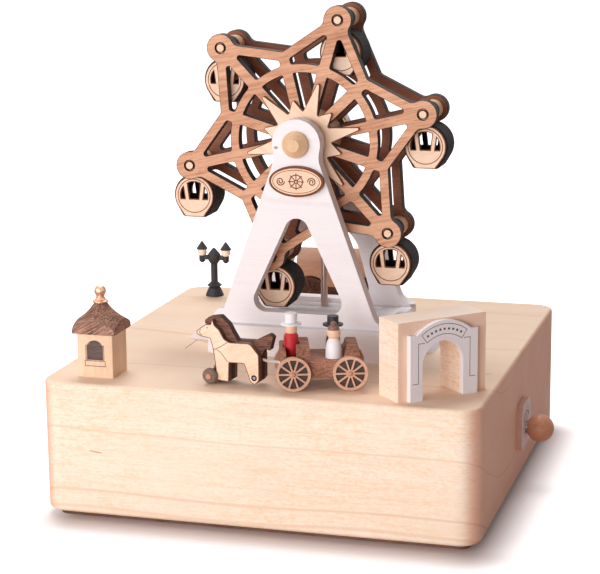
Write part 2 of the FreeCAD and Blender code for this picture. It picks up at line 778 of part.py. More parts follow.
def lobe_spacers():
    """Maple sleeves on the rear plate that keep the cabins in their places."""
    y = CABIN_FRONT_Y + HANGER_DEPTH + SIDE_GAP + 0.1
    return [tube(CABIN_RING_R, PIN_HOLE_R, V(u, y, AXLE_Z + v), Y_AXIS, REAR_STAR_Y - y)
            for u, v in lobe_centres()]


# ---------------------------------------------------------------- cabins
def cabin_block(radius, drop, half, corner, depth):
    """Round block with straight cheeks down to a flat floor, centre (0, 0)."""
    reach = math.hypot(half, drop)
    bearing = math.degrees(math.atan2(-drop, half))
    touch = bearing + math.degrees(math.acos(radius / reach))
    tu, tv = polar(radius, touch)
    arc = Part.Arc(V(tu, 0, tv), V(0, 0, radius), V(-tu, 0, tv)).toShape()
    line = Part.makePolygon([V(-tu, 0, tv), V(-half, 0, -drop),
                             V(half, 0, -drop), V(tu, 0, tv)])
    block = Part.Face(Part.Wire([arc] + line.Edges)).extrude(V(0, depth, 0))
    return block.makeFillet(corner, edges_along(block, Y_AXIS, lambda c: c.z < 0.1 - drop))


def cabin_shell():
    """Black hull, its neck and the ring that hangs on the pin; pin at origin."""
    depth = CABIN_DEPTH
    hull = cabin_block(CABIN_R, CABIN_FLOOR_DROP, CABIN_FLOOR_HALF, CABIN_CORNER_R, depth)
    hull.translate(V(0, 0, -CABIN_DROP))
    ring = rod(CABIN_RING_R, V(0, 0, 0), Y_AXIS, HANGER_DEPTH)
    neck = box(-CABIN_NECK_W / 2, CABIN_NECK_W / 2, 0, HANGER_DEPTH,
               -CABIN_DROP + CABIN_R - 1, 0)
    body = fuse([hull, ring, neck])
    at_neck = edges_along(body, Y_AXIS, lambda c: abs(abs(c.x) - CABIN_NECK_W / 2) < 1e-3
                          and c.z > -CABIN_DROP + CABIN_R - 1)
    body = body.makeFillet(NECK_FILLET, at_neck)
    room = cabin_block(CABIN_R - CABIN_WALL, CABIN_FLOOR_DROP - CABIN_WALL,
                       CABIN_FLOOR_HALF - CABIN_WALL / 2, CABIN_CORNER_R / 2, depth + 2)
    room.translate(V(0, -1, -CABIN_DROP))
    body = body.cut(room)
    body = body.cut(rod(PIN_R + PRESS_FIT, V(0, -1, 0), Y_AXIS, depth + 2))
    return shift(body, 0, CABIN_FRONT_Y, 0)


def cabin_face():
    """Maple face with three windows over a sill; cabin centre at origin."""
    face = cabin_block(CABIN_FACE_R, CABIN_FACE_FLOOR, CABIN_FACE_HALF,
                       CABIN_FACE_CORNER_R, CABIN_FACE_T)
    opening = rod(WINDOW_R, V(0, -1, 0), Y_AXIS, CABIN_FACE_T + 2)
    opening = opening.cut(box(-CABIN_R, CABIN_R, -2, CABIN_FACE_T + 2,
                              -CABIN_R, -WINDOW_SILL))
    for side in (-1, 1):
        x = side * MULLION_X
        post = box(x - MULLION_W / 2, x + MULLION_W / 2, -2, CABIN_FACE_T + 2,
                   -WINDOW_SILL - 1, CABIN_R)
        lean = side * MULLION_LEAN_DEG
        opening = opening.cut(swing(post, V(x, 0, -WINDOW_SILL), Y_AXIS, lean))
    return face.cut(opening)


def cabin_fronts():
    """Both maple faces, and the dowel that the cabin swings on."""
    front = shift(cabin_face(), 0, CABIN_FRONT_Y - CABIN_FACE_T, -CABIN_DROP)
    rear = shift(cabin_face(), 0, CABIN_FRONT_Y + CABIN_DEPTH, -CABIN_DROP)
    pin = rod(PIN_R, V(0, FRONT_STAR_Y - 0.1, 0), Y_AXIS,
              REAR_STAR_BACK - FRONT_STAR_Y + 0.2)
    return [front, rear, pin]


# ---------------------------------------------------------------- drive train
def drive_rod():
    """Upright steel rod with a brass pinion at its foot and at its top."""
    start = DECK_Z - 2.8
    shaft = rod(ROD_R, V(0, ROD_Y, start), Z_AXIS, ROD_TOP_Z - start)
    foot = spur_gear(HUB_MODULE, ROD_TEETH, HUB_GEAR_T, 0, -90 + 180 / ROD_TEETH)
    foot = shift(foot, 0, ROD_Y, HUB_GEAR_Z)
    top = spur_gear(TOP_MODULE, TOP_PINION_TEETH, TOP_FACE_WIDTH, 0, -90)
    top = shift(top, 0, ROD_Y, AXLE_Z - TOP_R - TOP_FACE_WIDTH / 2)
    return fuse([shaft, foot, top])


def centre_shaft():
    start = FLOOR_Z + 1.1
    end = HUB_GEAR_Z + HUB_GEAR_T + 1.0
    return rod(CENTRE_SHAFT_R, V(0, 0, start), Z_AXIS, end - start)


def centre_gears():
    """Large face gear driven by the knob, and the hub gear inside the stand."""
    pitch_z = CRANK_Z + FACE_PINION_R
    face = crown_gear(FACE_MODULE, FACE_TEETH, FACE_WIDTH, FACE_DISC_T,
                      CENTRE_SHAFT_R + PRESS_FIT, 0)
    face.rotate(V(0, 0, 0), X_AXIS, 180)
    face = shift(face, 0, 0, pitch_z + FACE_DISC_T + 1.15 * FACE_MODULE)
    boss = tube(5.0, CENTRE_SHAFT_R + PRESS_FIT,
                V(0, 0, pitch_z + FACE_DISC_T + 1.15 * FACE_MODULE), Z_AXIS, 3)
    face = face.fuse(boss).removeSplitter()
    hub = spur_gear(HUB_MODULE, HUB_TEETH, HUB_GEAR_T, CENTRE_SHAFT_R + PRESS_FIT, 90)
    return [face, shift(hub, 0, 0, HUB_GEAR_Z)]


def magnet_places():
    return [polar(TRACK_R, CART_DEG), polar(HORSE_R - 1.2, HORSE_DEG),
            polar(WAGON_R, WAGON_DEG)]


def magnet_arm():
    """Three wooden arms under the deck, one below each thing that is drawn."""
    z1 = POCKET_TOP_Z - ARM_GAP - MAGNET_T
    z0 = z1 - ARM_T
    solids = [rod(9.0, V(0, 0, z0), Z_AXIS, ARM_T)]
    for x, y in magnet_places():
        reach = math.hypot(x, y)
        arm = box(0, reach, -ARM_W / 2, ARM_W / 2, z0, z1)
        arm = swing(arm, V(0, 0, 0), Z_AXIS, math.degrees(math.atan2(y, x)))
        solids.append(arm)
        solids.append(rod(ARM_W / 2, V(x, y, z0), Z_AXIS, ARM_T))
    arms = fuse(solids)
    return arms.cut(rod(CENTRE_SHAFT_R + PRESS_FIT, V(0, 0, z0 - 1), Z_AXIS, ARM_T + 2))


def arm_magnets():
    z0 = POCKET_TOP_Z - ARM_GAP - MAGNET_T
    return [rod(MAGNET_R, V(x, y, z0), Z_AXIS, MAGNET_T) for x, y in magnet_places()]


def crank_shaft():
    """Steel shaft from the knob to the face gear, with both its pinions."""
    start = FACE_R - FACE_WIDTH / 2 - 1.0
    shaft = rod(CRANK_R, V(start, 0, CRANK_Z), X_AXIS, KNOB_FLAT_X - start)
    tenon = rod(TENON_R, V(KNOB_FLAT_X, 0, CRANK_Z), X_AXIS, TENON_L)
    face = spur_gear(FACE_MODULE, FACE_PINION_TEETH, FACE_WIDTH, 0, 0)
    face = lay_along_x(face, FACE_R - FACE_WIDTH / 2)
    music = spur_gear(MUSIC_MODULE, MUSIC_PINION_TEETH, MUSIC_GEAR_T, 0, 90)
    music = lay_along_x(music, POST_X0 + POST_T + 0.5)
    return fuse([shaft, tenon, face, music])


def lay_along_x(gear, x):
    """Turn a gear from the Z axis on to the knob's shaft, first tooth up."""
    gear = swing(gear, V(0, 0, 0), Y_AXIS, 90)
    gear = swing(gear, V(0, 0, 0), X_AXIS, 180)
    return shift(gear, x, 0, CRANK_Z)


def crank_knob():
    """Turned wooden ball with a flat where the shaft's tenon is glued in."""
    ball = Part.makeSphere(KNOB_R, V(KNOB_X, 0, CRANK_Z))
    ball = ball.cut(box(SIDE_X, KNOB_FLAT_X, -KNOB_R, KNOB_R,
                        CRANK_Z - KNOB_R, CRANK_Z + KNOB_R))
    return ball.cut(rod(TENON_R + PRESS_FIT, V(KNOB_FLAT_X - 1, 0, CRANK_Z), X_AXIS,
                        TENON_L + 1.2))


def crank_plate():
    z0 = CRANK_Z - CRANK_PLATE_BELOW
    z1 = z0 + CRANK_PLATE_H
    half = CRANK_PLATE_W / 2
    shape = [(-half, z0, 0.6), (half, z0, 0.6), (half, z1, CRANK_PLATE_R),
             (-half, z1, CRANK_PLATE_R)]
    plate = slab(shape, "yz", SIDE_X, CRANK_PLATE_T)
    return plate.cut(rod(CRANK_R + 0.3, V(SIDE_X - 1, 0, CRANK_Z), X_AXIS, 5))


# ---------------------------------------------------------------- movement
COMB_TIP_Y = MUSIC_Y - DRUM_R - PIN_H - COMB_PIN_GAP
BED_BACK_Y = COMB_TIP_Y - COMB_TOOTH_L - COMB_BACK_L
DRUM_FROM_BED_END = 2 * POST_T + 1.2
BED_L = DRUM_FROM_BED_END + DRUM_L + DRUM_END_GAP + POST_T

# the bed stands between the face gear and the pocket's wall, nearer to the wall
FACE_GEAR_EDGE = FACE_R + FACE_WIDTH / 2
BED_ROOM = math.sqrt(POCKET_R ** 2 - BED_BACK_Y ** 2) - FACE_GEAR_EDGE - BED_L
POST_X0 = FACE_GEAR_EDGE + MOVEMENT_INWARDS * BED_ROOM
DRUM_X0 = POST_X0 + DRUM_FROM_BED_END
POST_X1 = DRUM_X0 + DRUM_L + DRUM_END_GAP
COMB_Z = CRANK_Z


def music_drum():
    """Pinned barrel with its arbor and gear, turned by the knob's shaft."""
    arbor_x0 = POST_X0 + 0.3
    arbor_l = POST_X1 + POST_T - 0.3 - arbor_x0
    arbor = rod(1.2, V(arbor_x0, MUSIC_Y, CRANK_Z), X_AXIS, arbor_l)
    drum = rod(DRUM_R, V(DRUM_X0, MUSIC_Y, CRANK_Z), X_AXIS, DRUM_L)
    solids = [arbor, drum]
    for row in range(PIN_ROWS):
        for place in range(3):
            tooth = (row * 5 + place * 4) % COMB_TEETH
            x = DRUM_X0 + DRUM_L * (tooth + 0.5) / COMB_TEETH
            peg = box(x - PIN_W / 2, x + PIN_W / 2, MUSIC_Y - PIN_W / 2,
                      MUSIC_Y + PIN_W / 2, CRANK_Z, CRANK_Z + DRUM_R + PIN_H)
            angle = (row + place / 3 + 0.5) * 360 / PIN_ROWS
            solids.append(swing(peg, V(x, MUSIC_Y, CRANK_Z), X_AXIS, angle))
    gear = spur_gear(MUSIC_MODULE, MUSIC_TEETH, MUSIC_GEAR_T, 0,
                     90 + 180 / MUSIC_TEETH)
    gear = lay_along_x(gear, POST_X0 + POST_T + 0.5)
    solids.append(shift(gear, 0, MUSIC_Y, 0))
    return fuse(solids)


def movement_bed():
    """Cast bed with two posts for the shafts and a shelf for the comb."""
    back_y = BED_BACK_Y
    solids = [box(POST_X0, POST_X1 + POST_T, back_y, 6, FLOOR_Z, FLOOR_Z + BED_T)]
    for x in (POST_X0, POST_X1):
        side = [(5, FLOOR_Z, 0), (5, CRANK_Z, 0), (3.6, CRANK_Z + 4, 2.5),
                (-3.6, CRANK_Z + 4, 2), (MUSIC_Y + 3.4, CRANK_Z + 3, 1),
                (MUSIC_Y - 3.4, CRANK_Z + 3, 2), (MUSIC_Y - 4.4, CRANK_Z, 0),
                (MUSIC_Y - 5, FLOOR_Z, 0)]
        solids.append(slab(side, "yz", x, POST_T))
    shelf_top = COMB_Z - COMB_T / 2
    solids.append(box(DRUM_X0, DRUM_X0 + DRUM_L, back_y, back_y + COMB_BACK_L,
                      FLOOR_Z, shelf_top))
    bed = fuse(solids)
    for y, bore in ((0, CRANK_R), (MUSIC_Y, 1.2)):
        bed = bed.cut(rod(bore + RUN_FIT, V(POST_X0 - 1, y, CRANK_Z), X_AXIS,
                          POST_X1 + POST_T - POST_X0 + 2))
    return bed


def music_comb():
    """Steel comb: a slotted plate whose teeth reach the barrel's pins."""
    x0 = DRUM_X0
    x1 = DRUM_X0 + DRUM_L
    back_y = BED_BACK_Y
    z0 = COMB_Z - COMB_T / 2
    comb = box(x0, x1, back_y, COMB_TIP_Y, z0, z0 + COMB_T)
    pitch = DRUM_L / COMB_TEETH
    gaps = []
    for slot in range(1, COMB_TEETH):
        x = x0 + slot * pitch
        root = COMB_TIP_Y - COMB_TOOTH_L * (0.55 + 0.45 * slot / COMB_TEETH)
        gaps.append(box(x - 0.14, x + 0.14, root, COMB_TIP_Y + 1, z0 - 1, z0 + 2))
    return comb.cut(Part.makeCompound(gaps))


# ---------------------------------------------------------------- deck pieces
def kiosk_walls():
    """Square hut with a shallow shouldered window engraved in its front."""
    half = KIOSK_W / 2
    block = box(KIOSK_X - half, KIOSK_X + half, KIOSK_Y - half, KIOSK_Y + half,
                DECK_Z, DECK_Z + KIOSK_H)
    block = block.makeFillet(0.4, edges_along(block, Z_AXIS, lambda c: True))
    y = KIOSK_Y - half
    side = KIOSK_WINDOW_W / 2
    z0 = DECK_Z + KIOSK_SILL_H
    top = z0 + KIOSK_WINDOW_H
    pane = box(KIOSK_X - side, KIOSK_X + side, y - 1, y + KIOSK_WINDOW_DEPTH,
               z0, top - side * 0.55)
    crown = rod(side * 0.88, V(KIOSK_X, y - 1, top - side * 0.88), Y_AXIS,
                1 + KIOSK_WINDOW_DEPTH)
    return block.cut(pane.fuse(crown))


def kiosk_roof():
    """Turned bell roof sawn square, so that each eave rises in an arch."""
    z0 = DECK_Z + KIOSK_H
    spline = Part.BSplineCurve()
    spline.interpolate([V(KIOSK_X + radius, KIOSK_Y, z0 + height)
                        for radius, height in ROOF_BELL])
    top_r, top_h = ROOF_BELL[0]
    edge_r, edge_h = ROOF_BELL[-1]
    rim = [V(KIOSK_X + edge_r, KIOSK_Y, z0 + edge_h), V(KIOSK_X + edge_r, KIOSK_Y, z0),
           V(KIOSK_X, KIOSK_Y, z0), V(KIOSK_X, KIOSK_Y, z0 + top_h),
           V(KIOSK_X + top_r, KIOSK_Y, z0 + top_h)]
    wire = Part.Wire([spline.toShape()] + Part.makePolygon(rim).Edges)
    bell = Part.Face(wire).revolve(V(KIOSK_X, KIOSK_Y, z0), Z_AXIS, 360)
    half = ROOF_W / 2
    return bell.common(box(KIOSK_X - half, KIOSK_X + half, KIOSK_Y - half,
                           KIOSK_Y + half, z0, z0 + top_h))


def kiosk_finial():
    z0 = DECK_Z + KIOSK_H + ROOF_BELL[0][1]
    profile = [(2.0, 0), (2.7, 0.3), (2.7, 0.7), (1.9, 1.1), (1.4, 1.9), (1.4, 2.6)]
    foot = turned(profile, V(KIOSK_X, KIOSK_Y, z0), Z_AXIS)
    ball = Part.makeSphere(FINIAL_R, V(KIOSK_X, KIOSK_Y, z0 + 4.0))
    return foot.fuse(ball).removeSplitter()


def lamp_post():
    """Black street lamp: turned post with a cross arm, and two lantern caps."""
    foot = V(LAMP_X, LAMP_Y, DECK_Z)
    profile = [(3.6, 0), (3.6, 0.5), (2.4, 3.2), (2.1, 3.4), (2.2, 3.7), (3.0, 4.2),
               (LAMP_POST_R, 5.7), (LAMP_POST_R, 12.9), (2.3, 14.3), (2.6, 15.2),
               (2.6, 16.6), (1.9, 17.6), (0.5, 19.3)]
    arm_z = DECK_Z + LANTERN_Z - LAMP_ARM_T
    solids = [turned(profile, foot, Z_AXIS),
              box(LAMP_X - LANTERN_X, LAMP_X + LANTERN_X, LAMP_Y - LAMP_ARM_T / 2,
                  LAMP_Y + LAMP_ARM_T / 2, arm_z, arm_z + LAMP_ARM_T)]
    cup = [(0.4, -3.0), (1.1, -2.5), (1.25, -1.8), (1.25, 0)]
    cap = [(2.2, 0), (2.2, 0.3), (0.4, 2.9), (0.15, 3.2)]
    caps = []
    for side in (-1, 1):
        at = V(LAMP_X + side * LANTERN_X, LAMP_Y, DECK_Z + LANTERN_Z)
        solids.append(turned(cup, at, Z_AXIS))
        caps.append(turned(cap, at + V(0, 0, LANTERN_H), Z_AXIS))
    return [fuse(solids)] + caps


def lamp_lanterns():
    profile = [(1.3, 0), (LANTERN_R, 0.7), (LANTERN_R + 0.05, 1.5),
               (LANTERN_R - 0.05, LANTERN_H)]
    return [turned(profile, V(LAMP_X + side * LANTERN_X, LAMP_Y, DECK_Z + LANTERN_Z),
                   Z_AXIS) for side in (-1, 1)]


def gate_frame(shape):
    """Place a piece drawn with the gate's middle at the origin, front to -Y."""
    turned_shape = swing(shape, V(0, 0, 0), Z_AXIS, GATE_TURN_DEG)
    return shift(turned_shape, GATE_X, GATE_Y, DECK_Z)


def arch_opening(depth0, depth1):
    half = ARCH_W / 2
    low = box(ARCH_SHIFT - half, ARCH_SHIFT + half, depth0, depth1, -1, ARCH_SPRING)
    dome = rod(half, V(ARCH_SHIFT, depth0, ARCH_SPRING), Y_AXIS, depth1 - depth0)
    return low.fuse(dome)


def gate_block():
    block = box(-GATE_L / 2, GATE_L / 2, -GATE_T / 2, GATE_T / 2, 0, GATE_H)
    block = block.makeFillet(0.4, edges_along(block, Z_AXIS, lambda c: True))
    return gate_frame(block.cut(arch_opening(-GATE_T, GATE_T)))


def gate_plate():
    """White arch plate with square shoulders and a round crown."""
    y = -GATE_T / 2 - GATE_PLATE_T
    half = GATE_PLATE_W / 2
    crown = GATE_CROWN_W / 2
    mid = GATE_PLATE_SHIFT

    def at(u, v):
        return V(mid + u, y, v)

    arc = Part.Arc(at(crown, GATE_SHOULDER_H), at(0, GATE_CROWN_H),
                   at(-crown, GATE_SHOULDER_H)).toShape()
    ring = [at(-crown, GATE_SHOULDER_H), at(-half, GATE_SHOULDER_H), at(-half, 0),
            at(half, 0), at(half, GATE_SHOULDER_H), at(crown, GATE_SHOULDER_H)]
    wire = Part.Wire([arc] + Part.makePolygon(ring).Edges)
    plate = Part.Face(wire).extrude(V(0, GATE_PLATE_T, 0))
    return gate_frame(plate.cut(arch_opening(y - 1, 0)))


# ---------------------------------------------------------------- carriage
def on_track(shape, radius, degrees):
    """Place a piece drawn at the origin, its right side outwards, on a track."""
    placed = swing(shape, V(0, 0, 0), Z_AXIS, degrees + 90)
    x, y = polar(radius, degrees)
    return shift(placed, x, y, DECK_Z + DECK_GAP)


def cart_body():
    """Walnut cart cut from one profile, with a notch for the driver."""
    floor = 10.0
    shape = [(-15.0, 3.8, 0.8), (11.1, 3.8, 0.8), (10.7, 13.9, 0.8),
             (7.0, 13.9, 0.8), (5.8, floor, 0.2), (-4.9, floor, 0.3),
             (-5.4, 14.2, 0.6), (-9.8, 14.2, 0.4), (-9.8, floor, 0.2),
             (-13.2, floor, 0.3), (-13.2, 13.2, 0.3), (-15.0, 13.2, 0.5)]
    body = slab(shape, "xz", -CART_W / 2, CART_W)
    notch = rod(2.9, V(-11.2, 0, floor), Z_AXIS, 8)
    body = body.cut(notch)
    for x in (CART_AXLE_FRONT, CART_AXLE_REAR):
        body = body.cut(rod(CART_AXLE_R + RUN_FIT, V(x, -CART_W, CART_WHEEL_R),
                            Y_AXIS, 2 * CART_W))
    return on_track(body, TRACK_R, CART_DEG)


def cart_wheel(y0, outward):
    """Spoked wheel: rim, spokes and hub over a thin recessed web."""
    wheel = tube(CART_WHEEL_R, CART_WHEEL_R - 0.9, V(0, y0, 0), Y_AXIS, CART_WHEEL_T)
    web_y = y0 + (CART_WHEEL_T - 1.0) * (1 if outward < 0 else 0)
    web = rod(CART_WHEEL_R - 0.5, V(0, web_y, 0), Y_AXIS, 1.0)
    solids = [wheel, web]
    for spoke in range(SPOKES):
        piece = box(0, CART_WHEEL_R - 0.5, y0, y0 + CART_WHEEL_T, -0.27, 0.27)
        solids.append(swing(piece, V(0, 0, 0), Y_AXIS, 360 * spoke / SPOKES))
    solids.append(rod(1.3, V(0, y0, 0), Y_AXIS, CART_WHEEL_T))
    return fuse(solids)


def wheel_set(half_width, axle_r, wheels, pin_r):
    """Two wheels and their axle with domed ends, as one turning set."""
    length = 2 * (half_width + CART_WHEEL_T)
    axle = rod(axle_r, V(0, -length / 2, 0), Y_AXIS, length)
    domes = []
    for side in (-1, 1):
        domes.append(turned([(pin_r, 0), (pin_r * 0.8, 0.35), (pin_r * 0.35, 0.6)],
                            V(0, side * length / 2, 0), Y_AXIS * side))
    return fuse([axle] + wheels + domes)


def cart_wheel_set():
    half = CART_W / 2 + SIDE_GAP
    near = cart_wheel(-half - CART_WHEEL_T, -1)
    far = cart_wheel(half, 1)
    return wheel_set(half, CART_AXLE_R, [near, far], 0.9)


def cart_wheels(x, radius, degrees):
    return on_track(shift(cart_wheel_set(), x, 0, CART_WHEEL_R), radius, degrees)


def figure(profile, x, y, degrees, radius):
    return on_track(turned(profile, V(x, y, 10.0), Z_AXIS), radius, degrees)


def figures():
    driver = [(2.3, 0), (2.45, 1.5), (2.45, 6.6), (1.8, 7.7), (1.95, 8.3), (2.0, 10.2),
              (3.4, 10.4), (3.4, 10.9), (2.0, 11.2), (2.0, 14.3)]
    bride = [(2.75, 0), (2.7, 2.5), (2.3, 5.0), (1.6, 6.4), (2.2, 7.4), (2.3, 8.6),
             (1.7, 10.3), (1.0, 10.8), (1.1, 11.4), (0.5, 12.0)]
    groom = [(2.45, 0), (2.45, 3.5), (2.1, 5.6), (1.5, 6.4), (1.95, 7.3), (1.95, 9.0),
             (3.4, 9.1), (3.4, 9.6), (1.9, 9.8), (1.9, 12.3)]
    return (figure(driver, -11.2, 0, CART_DEG, TRACK_R),
            [figure(bride, 2.6, -3.7, CART_DEG, TRACK_R),
             figure(groom, 2.8, 3.3, CART_DEG, TRACK_R)])


HORSE_OUTLINE = [(-12.5, 17.5, 0.6), (-11.6, 18.2, 0.4), (-9.3, 19.8, 0.6),
                 (-7.4, 20.0, 0.2), (-6.9, 22.2, 0.2), (-6.1, 19.8, 0.3),
                 (-4.3, 18.3, 1.2), (-2.6, 15.3, 2.0), (-0.5, 14.4, 1.0),
                 (6.7, 14.7, 2.2), (9.9, 11.0, 2.0), (9.9, 2.4, 1.2),
                 (8.4, 0.8, 0.9), (6.7, 1.6, 1.0), (5.7, 4.6, 1.5),
                 (4.5, 7.7, 0.8), (-0.9, 7.5, 0.2), (-1.2, 0.9, 0.3),
                 (-5.3, 1.2, 0.3), (-6.1, 7.7, 1.5), (-6.7, 11.8, 1.5),
                 (-7.7, 15.2, 0.8), (-11.0, 15.6, 0.5), (-12.7, 16.4, 0.5)]
HORSE_MANE = [(-10.4, 19.6, 0.2), (-10.4, 20.8, 0.4), (-8.9, 22.0, 0.6),
              (-5.0, 22.7, 1.2), (-1.8, 20.0, 1.5), (-0.4, 17.4, 1.5),
              (1.6, 14.3, 0), (-2.8, 13.0, 0), (-6.6, 18.8, 0)]
HORSE_TAIL = [(6.8, 12.6, 0), (7.4, 15.2, 0.8), (12.7, 18.0, 1.2),
              (14.2, 16.9, 0.6), (13.0, 12.3, 0.3), (11.4, 13.0, 0.4),
              (10.4, 11.2, 0.4), (9.0, 9.0, 0)]
HORSE_HOOF = (8.1, 3.1)
HORSE_HOOF_PIN_R = 0.8
HORSE_T = HORSE_CORE_T + 2 * HORSE_SIDE_T
HORSE_AXLE_X = -7.6


def hoof_hole():
    x, z = HORSE_HOOF
    return rod(HORSE_HOOF_PIN_R, V(x, -HORSE_T, z), Y_AXIS, 2 * HORSE_T)


def horse_core():
    """Walnut middle layer, with the mane and tail standing out of the sides."""
    y0 = -HORSE_CORE_T / 2
    solids = [slab(points, "xz", y0, HORSE_CORE_T)
              for points in (HORSE_OUTLINE, HORSE_MANE, HORSE_TAIL)]
    bracket = [(-9.2, 0.9, 0.4), (-3.0, 0.9, 0), (-3.0, 4.4, 0), (-8.2, 4.4, 1.0)]
    solids.append(slab(bracket, "xz", y0, HORSE_CORE_T))
    core = fuse(solids)
    core = core.cut(rod(HORSE_AXLE_R + RUN_FIT, V(HORSE_AXLE_X, -HORSE_T, HORSE_WHEEL_R),
                        Y_AXIS, 2 * HORSE_T))
    core = core.cut(hoof_hole())
    return on_track(shift(core, -HORSE_LEAD, 0, 0), HORSE_R, HORSE_DEG)


def horse_sides():
    pieces = []
    for side in (-1, 1):
        y0 = HORSE_CORE_T / 2 if side > 0 else -HORSE_CORE_T / 2 - HORSE_SIDE_T
        plate = slab(HORSE_OUTLINE, "xz", y0, HORSE_SIDE_T)
        plate = plate.cut(hoof_hole())
        pieces.append(on_track(shift(plate, -HORSE_LEAD, 0, 0), HORSE_R, HORSE_DEG))
    return pieces


def horse_wheels():
    half = HORSE_CORE_T / 2 + HORSE_SIDE_T + SIDE_GAP
    axle = rod(HORSE_AXLE_R, V(0, -half - HORSE_WHEEL_T, 0), Y_AXIS,
               2 * (half + HORSE_WHEEL_T))
    solids = [axle]
    for side in (-1, 1):
        profile = [(HORSE_WHEEL_R, 0), (HORSE_WHEEL_R, 1.0), (HORSE_WHEEL_R - 0.5, 1.5),
                   (1.0, HORSE_WHEEL_T), (0.9, HORSE_WHEEL_T + 0.4)]
        solids.append(turned(profile, V(0, side * half, 0), Y_AXIS * side))
    wheels = shift(fuse(solids), HORSE_AXLE_X - HORSE_LEAD, 0, HORSE_WHEEL_R)
    return on_track(wheels, HORSE_R, HORSE_DEG)


def wagon_body():
    """Plain walnut van with a barrel roof on a narrower chassis."""
    z0 = WAGON_CHASSIS_Z
    floor = WAGON_FLOOR
    half = WAGON_L / 2
    body = box(-half, half, -WAGON_W / 2, WAGON_W / 2, floor, WAGON_RIDGE + 1)
    roof = rod(WAGON_ROOF_R, V(-half - 1, 0, WAGON_RIDGE - WAGON_ROOF_R), X_AXIS,
               WAGON_L + 2)
    body = body.common(roof)
    chassis = box(-half + 2, half - 2, -WAGON_W / 2, WAGON_W / 2, z0, floor)
    body = body.fuse(chassis).removeSplitter()
    for side in (-1, 1):
        x = side * WAGON_AXLE_X
        arch_r = CART_WHEEL_R + 0.8
        for edge in (-1, 1):
            y0 = edge * (WAGON_W / 2) - (CART_WHEEL_T + 0.5 if edge > 0 else 0.5)
            arch = rod(arch_r, V(x, y0, CART_WHEEL_R), Y_AXIS, CART_WHEEL_T + 1.0)
            body = body.cut(arch)
        body = body.cut(rod(CART_AXLE_R + RUN_FIT, V(x, -WAGON_W, CART_WHEEL_R),
                            Y_AXIS, 2 * WAGON_W))
    return on_track(body, WAGON_R, WAGON_DEG)


def wagon_wheel_set():
    half = WAGON_W / 2 - CART_WHEEL_T - 0.2
    near = cart_wheel(-half - CART_WHEEL_T, -1)
    far = cart_wheel(half, 1)
    return wheel_set(half, CART_AXLE_R, [near, far], 0.9)


def wagon_wheels(x):
    return on_track(shift(wagon_wheel_set(), x, 0, CART_WHEEL_R), WAGON_R, WAGON_DEG)


def local_to_track(x, y, z, radius, degrees):
    angle = math.radians(degrees + 90)
    px, py = polar(radius, degrees)
    return V(px + x * math.cos(angle) - y * math.sin(angle),
             py + x * math.sin(angle) + y * math.cos(angle),
             DECK_Z + DECK_GAP + z)


def tow_cord():
    """White cord between the horse's rump and the front of the cart."""
    start = local_to_track(9.4 - HORSE_LEAD, 0, 9.0, HORSE_R, HORSE_DEG)
    end = local_to_track(-15.0, 0, 7.6, TRACK_R, CART_DEG)
    along = end - start
    points = [start, start + along * 0.34 + V(0, 0, -0.4),
              start + along * 0.68 + V(0, 0, -0.1), end]
    cord = round_cord(points, TOW_CORD_R)
    return cord.cut(horse_core()).cut(cart_body())


def round_cord(points, radius):
    """A round cord: straight runs joined by tangent arcs."""
    edges = []
    last = points[0]
    for before, corner, after in zip(points, points[1:], points[2:]):
        back = (before - corner)
        ahead = (after - corner)
        shorter = min(back.Length, ahead.Length)
        back.normalize()
        ahead.normalize()
        half = back.getAngle(ahead) / 2
        reach = 0.45 * shorter
        bend = reach * math.tan(half)
        middle = back + ahead
        middle.normalize()
        centre = corner + middle * (bend / math.sin(half))
        enter = corner + back * reach
        leave = corner + ahead * reach
        edges.append(Part.makeLine(last, enter))
        edges.append(Part.Arc(enter, centre - middle * bend, leave).toShape())
        last = leave
    edges.append(Part.makeLine(last, points[-1]))
    path = Part.Wire(edges)
    ring = Part.Wire(Part.makeCircle(radius, points[0], points[1] - points[0]))
    cord = path.makePipeShell([ring], True, False)
    print("tow cord length", round(path.Length, 1), "volume ratio",
          round(cord.Volume / (math.pi * radius ** 2 * path.Length), 3))
    return cord


# ---------------------------------------------------------------- export
def save(name, shapes):
    if not isinstance(shapes, list):
        shapes = [shapes]
    solids = []
    for shape in shapes:
        solids += shape.Solids
    shape = solids[0] if len(solids) == 1 else Part.makeCompound(solids)
    bad = [s for s in solids if not s.isValid()]
    print(f"{name:20s} solids {len(solids):2d} volume {shape.Volume:10.1f}"
          + ("  NOT VALID" if bad else ""))
    shape.exportStep(f"parts/{name}.step")


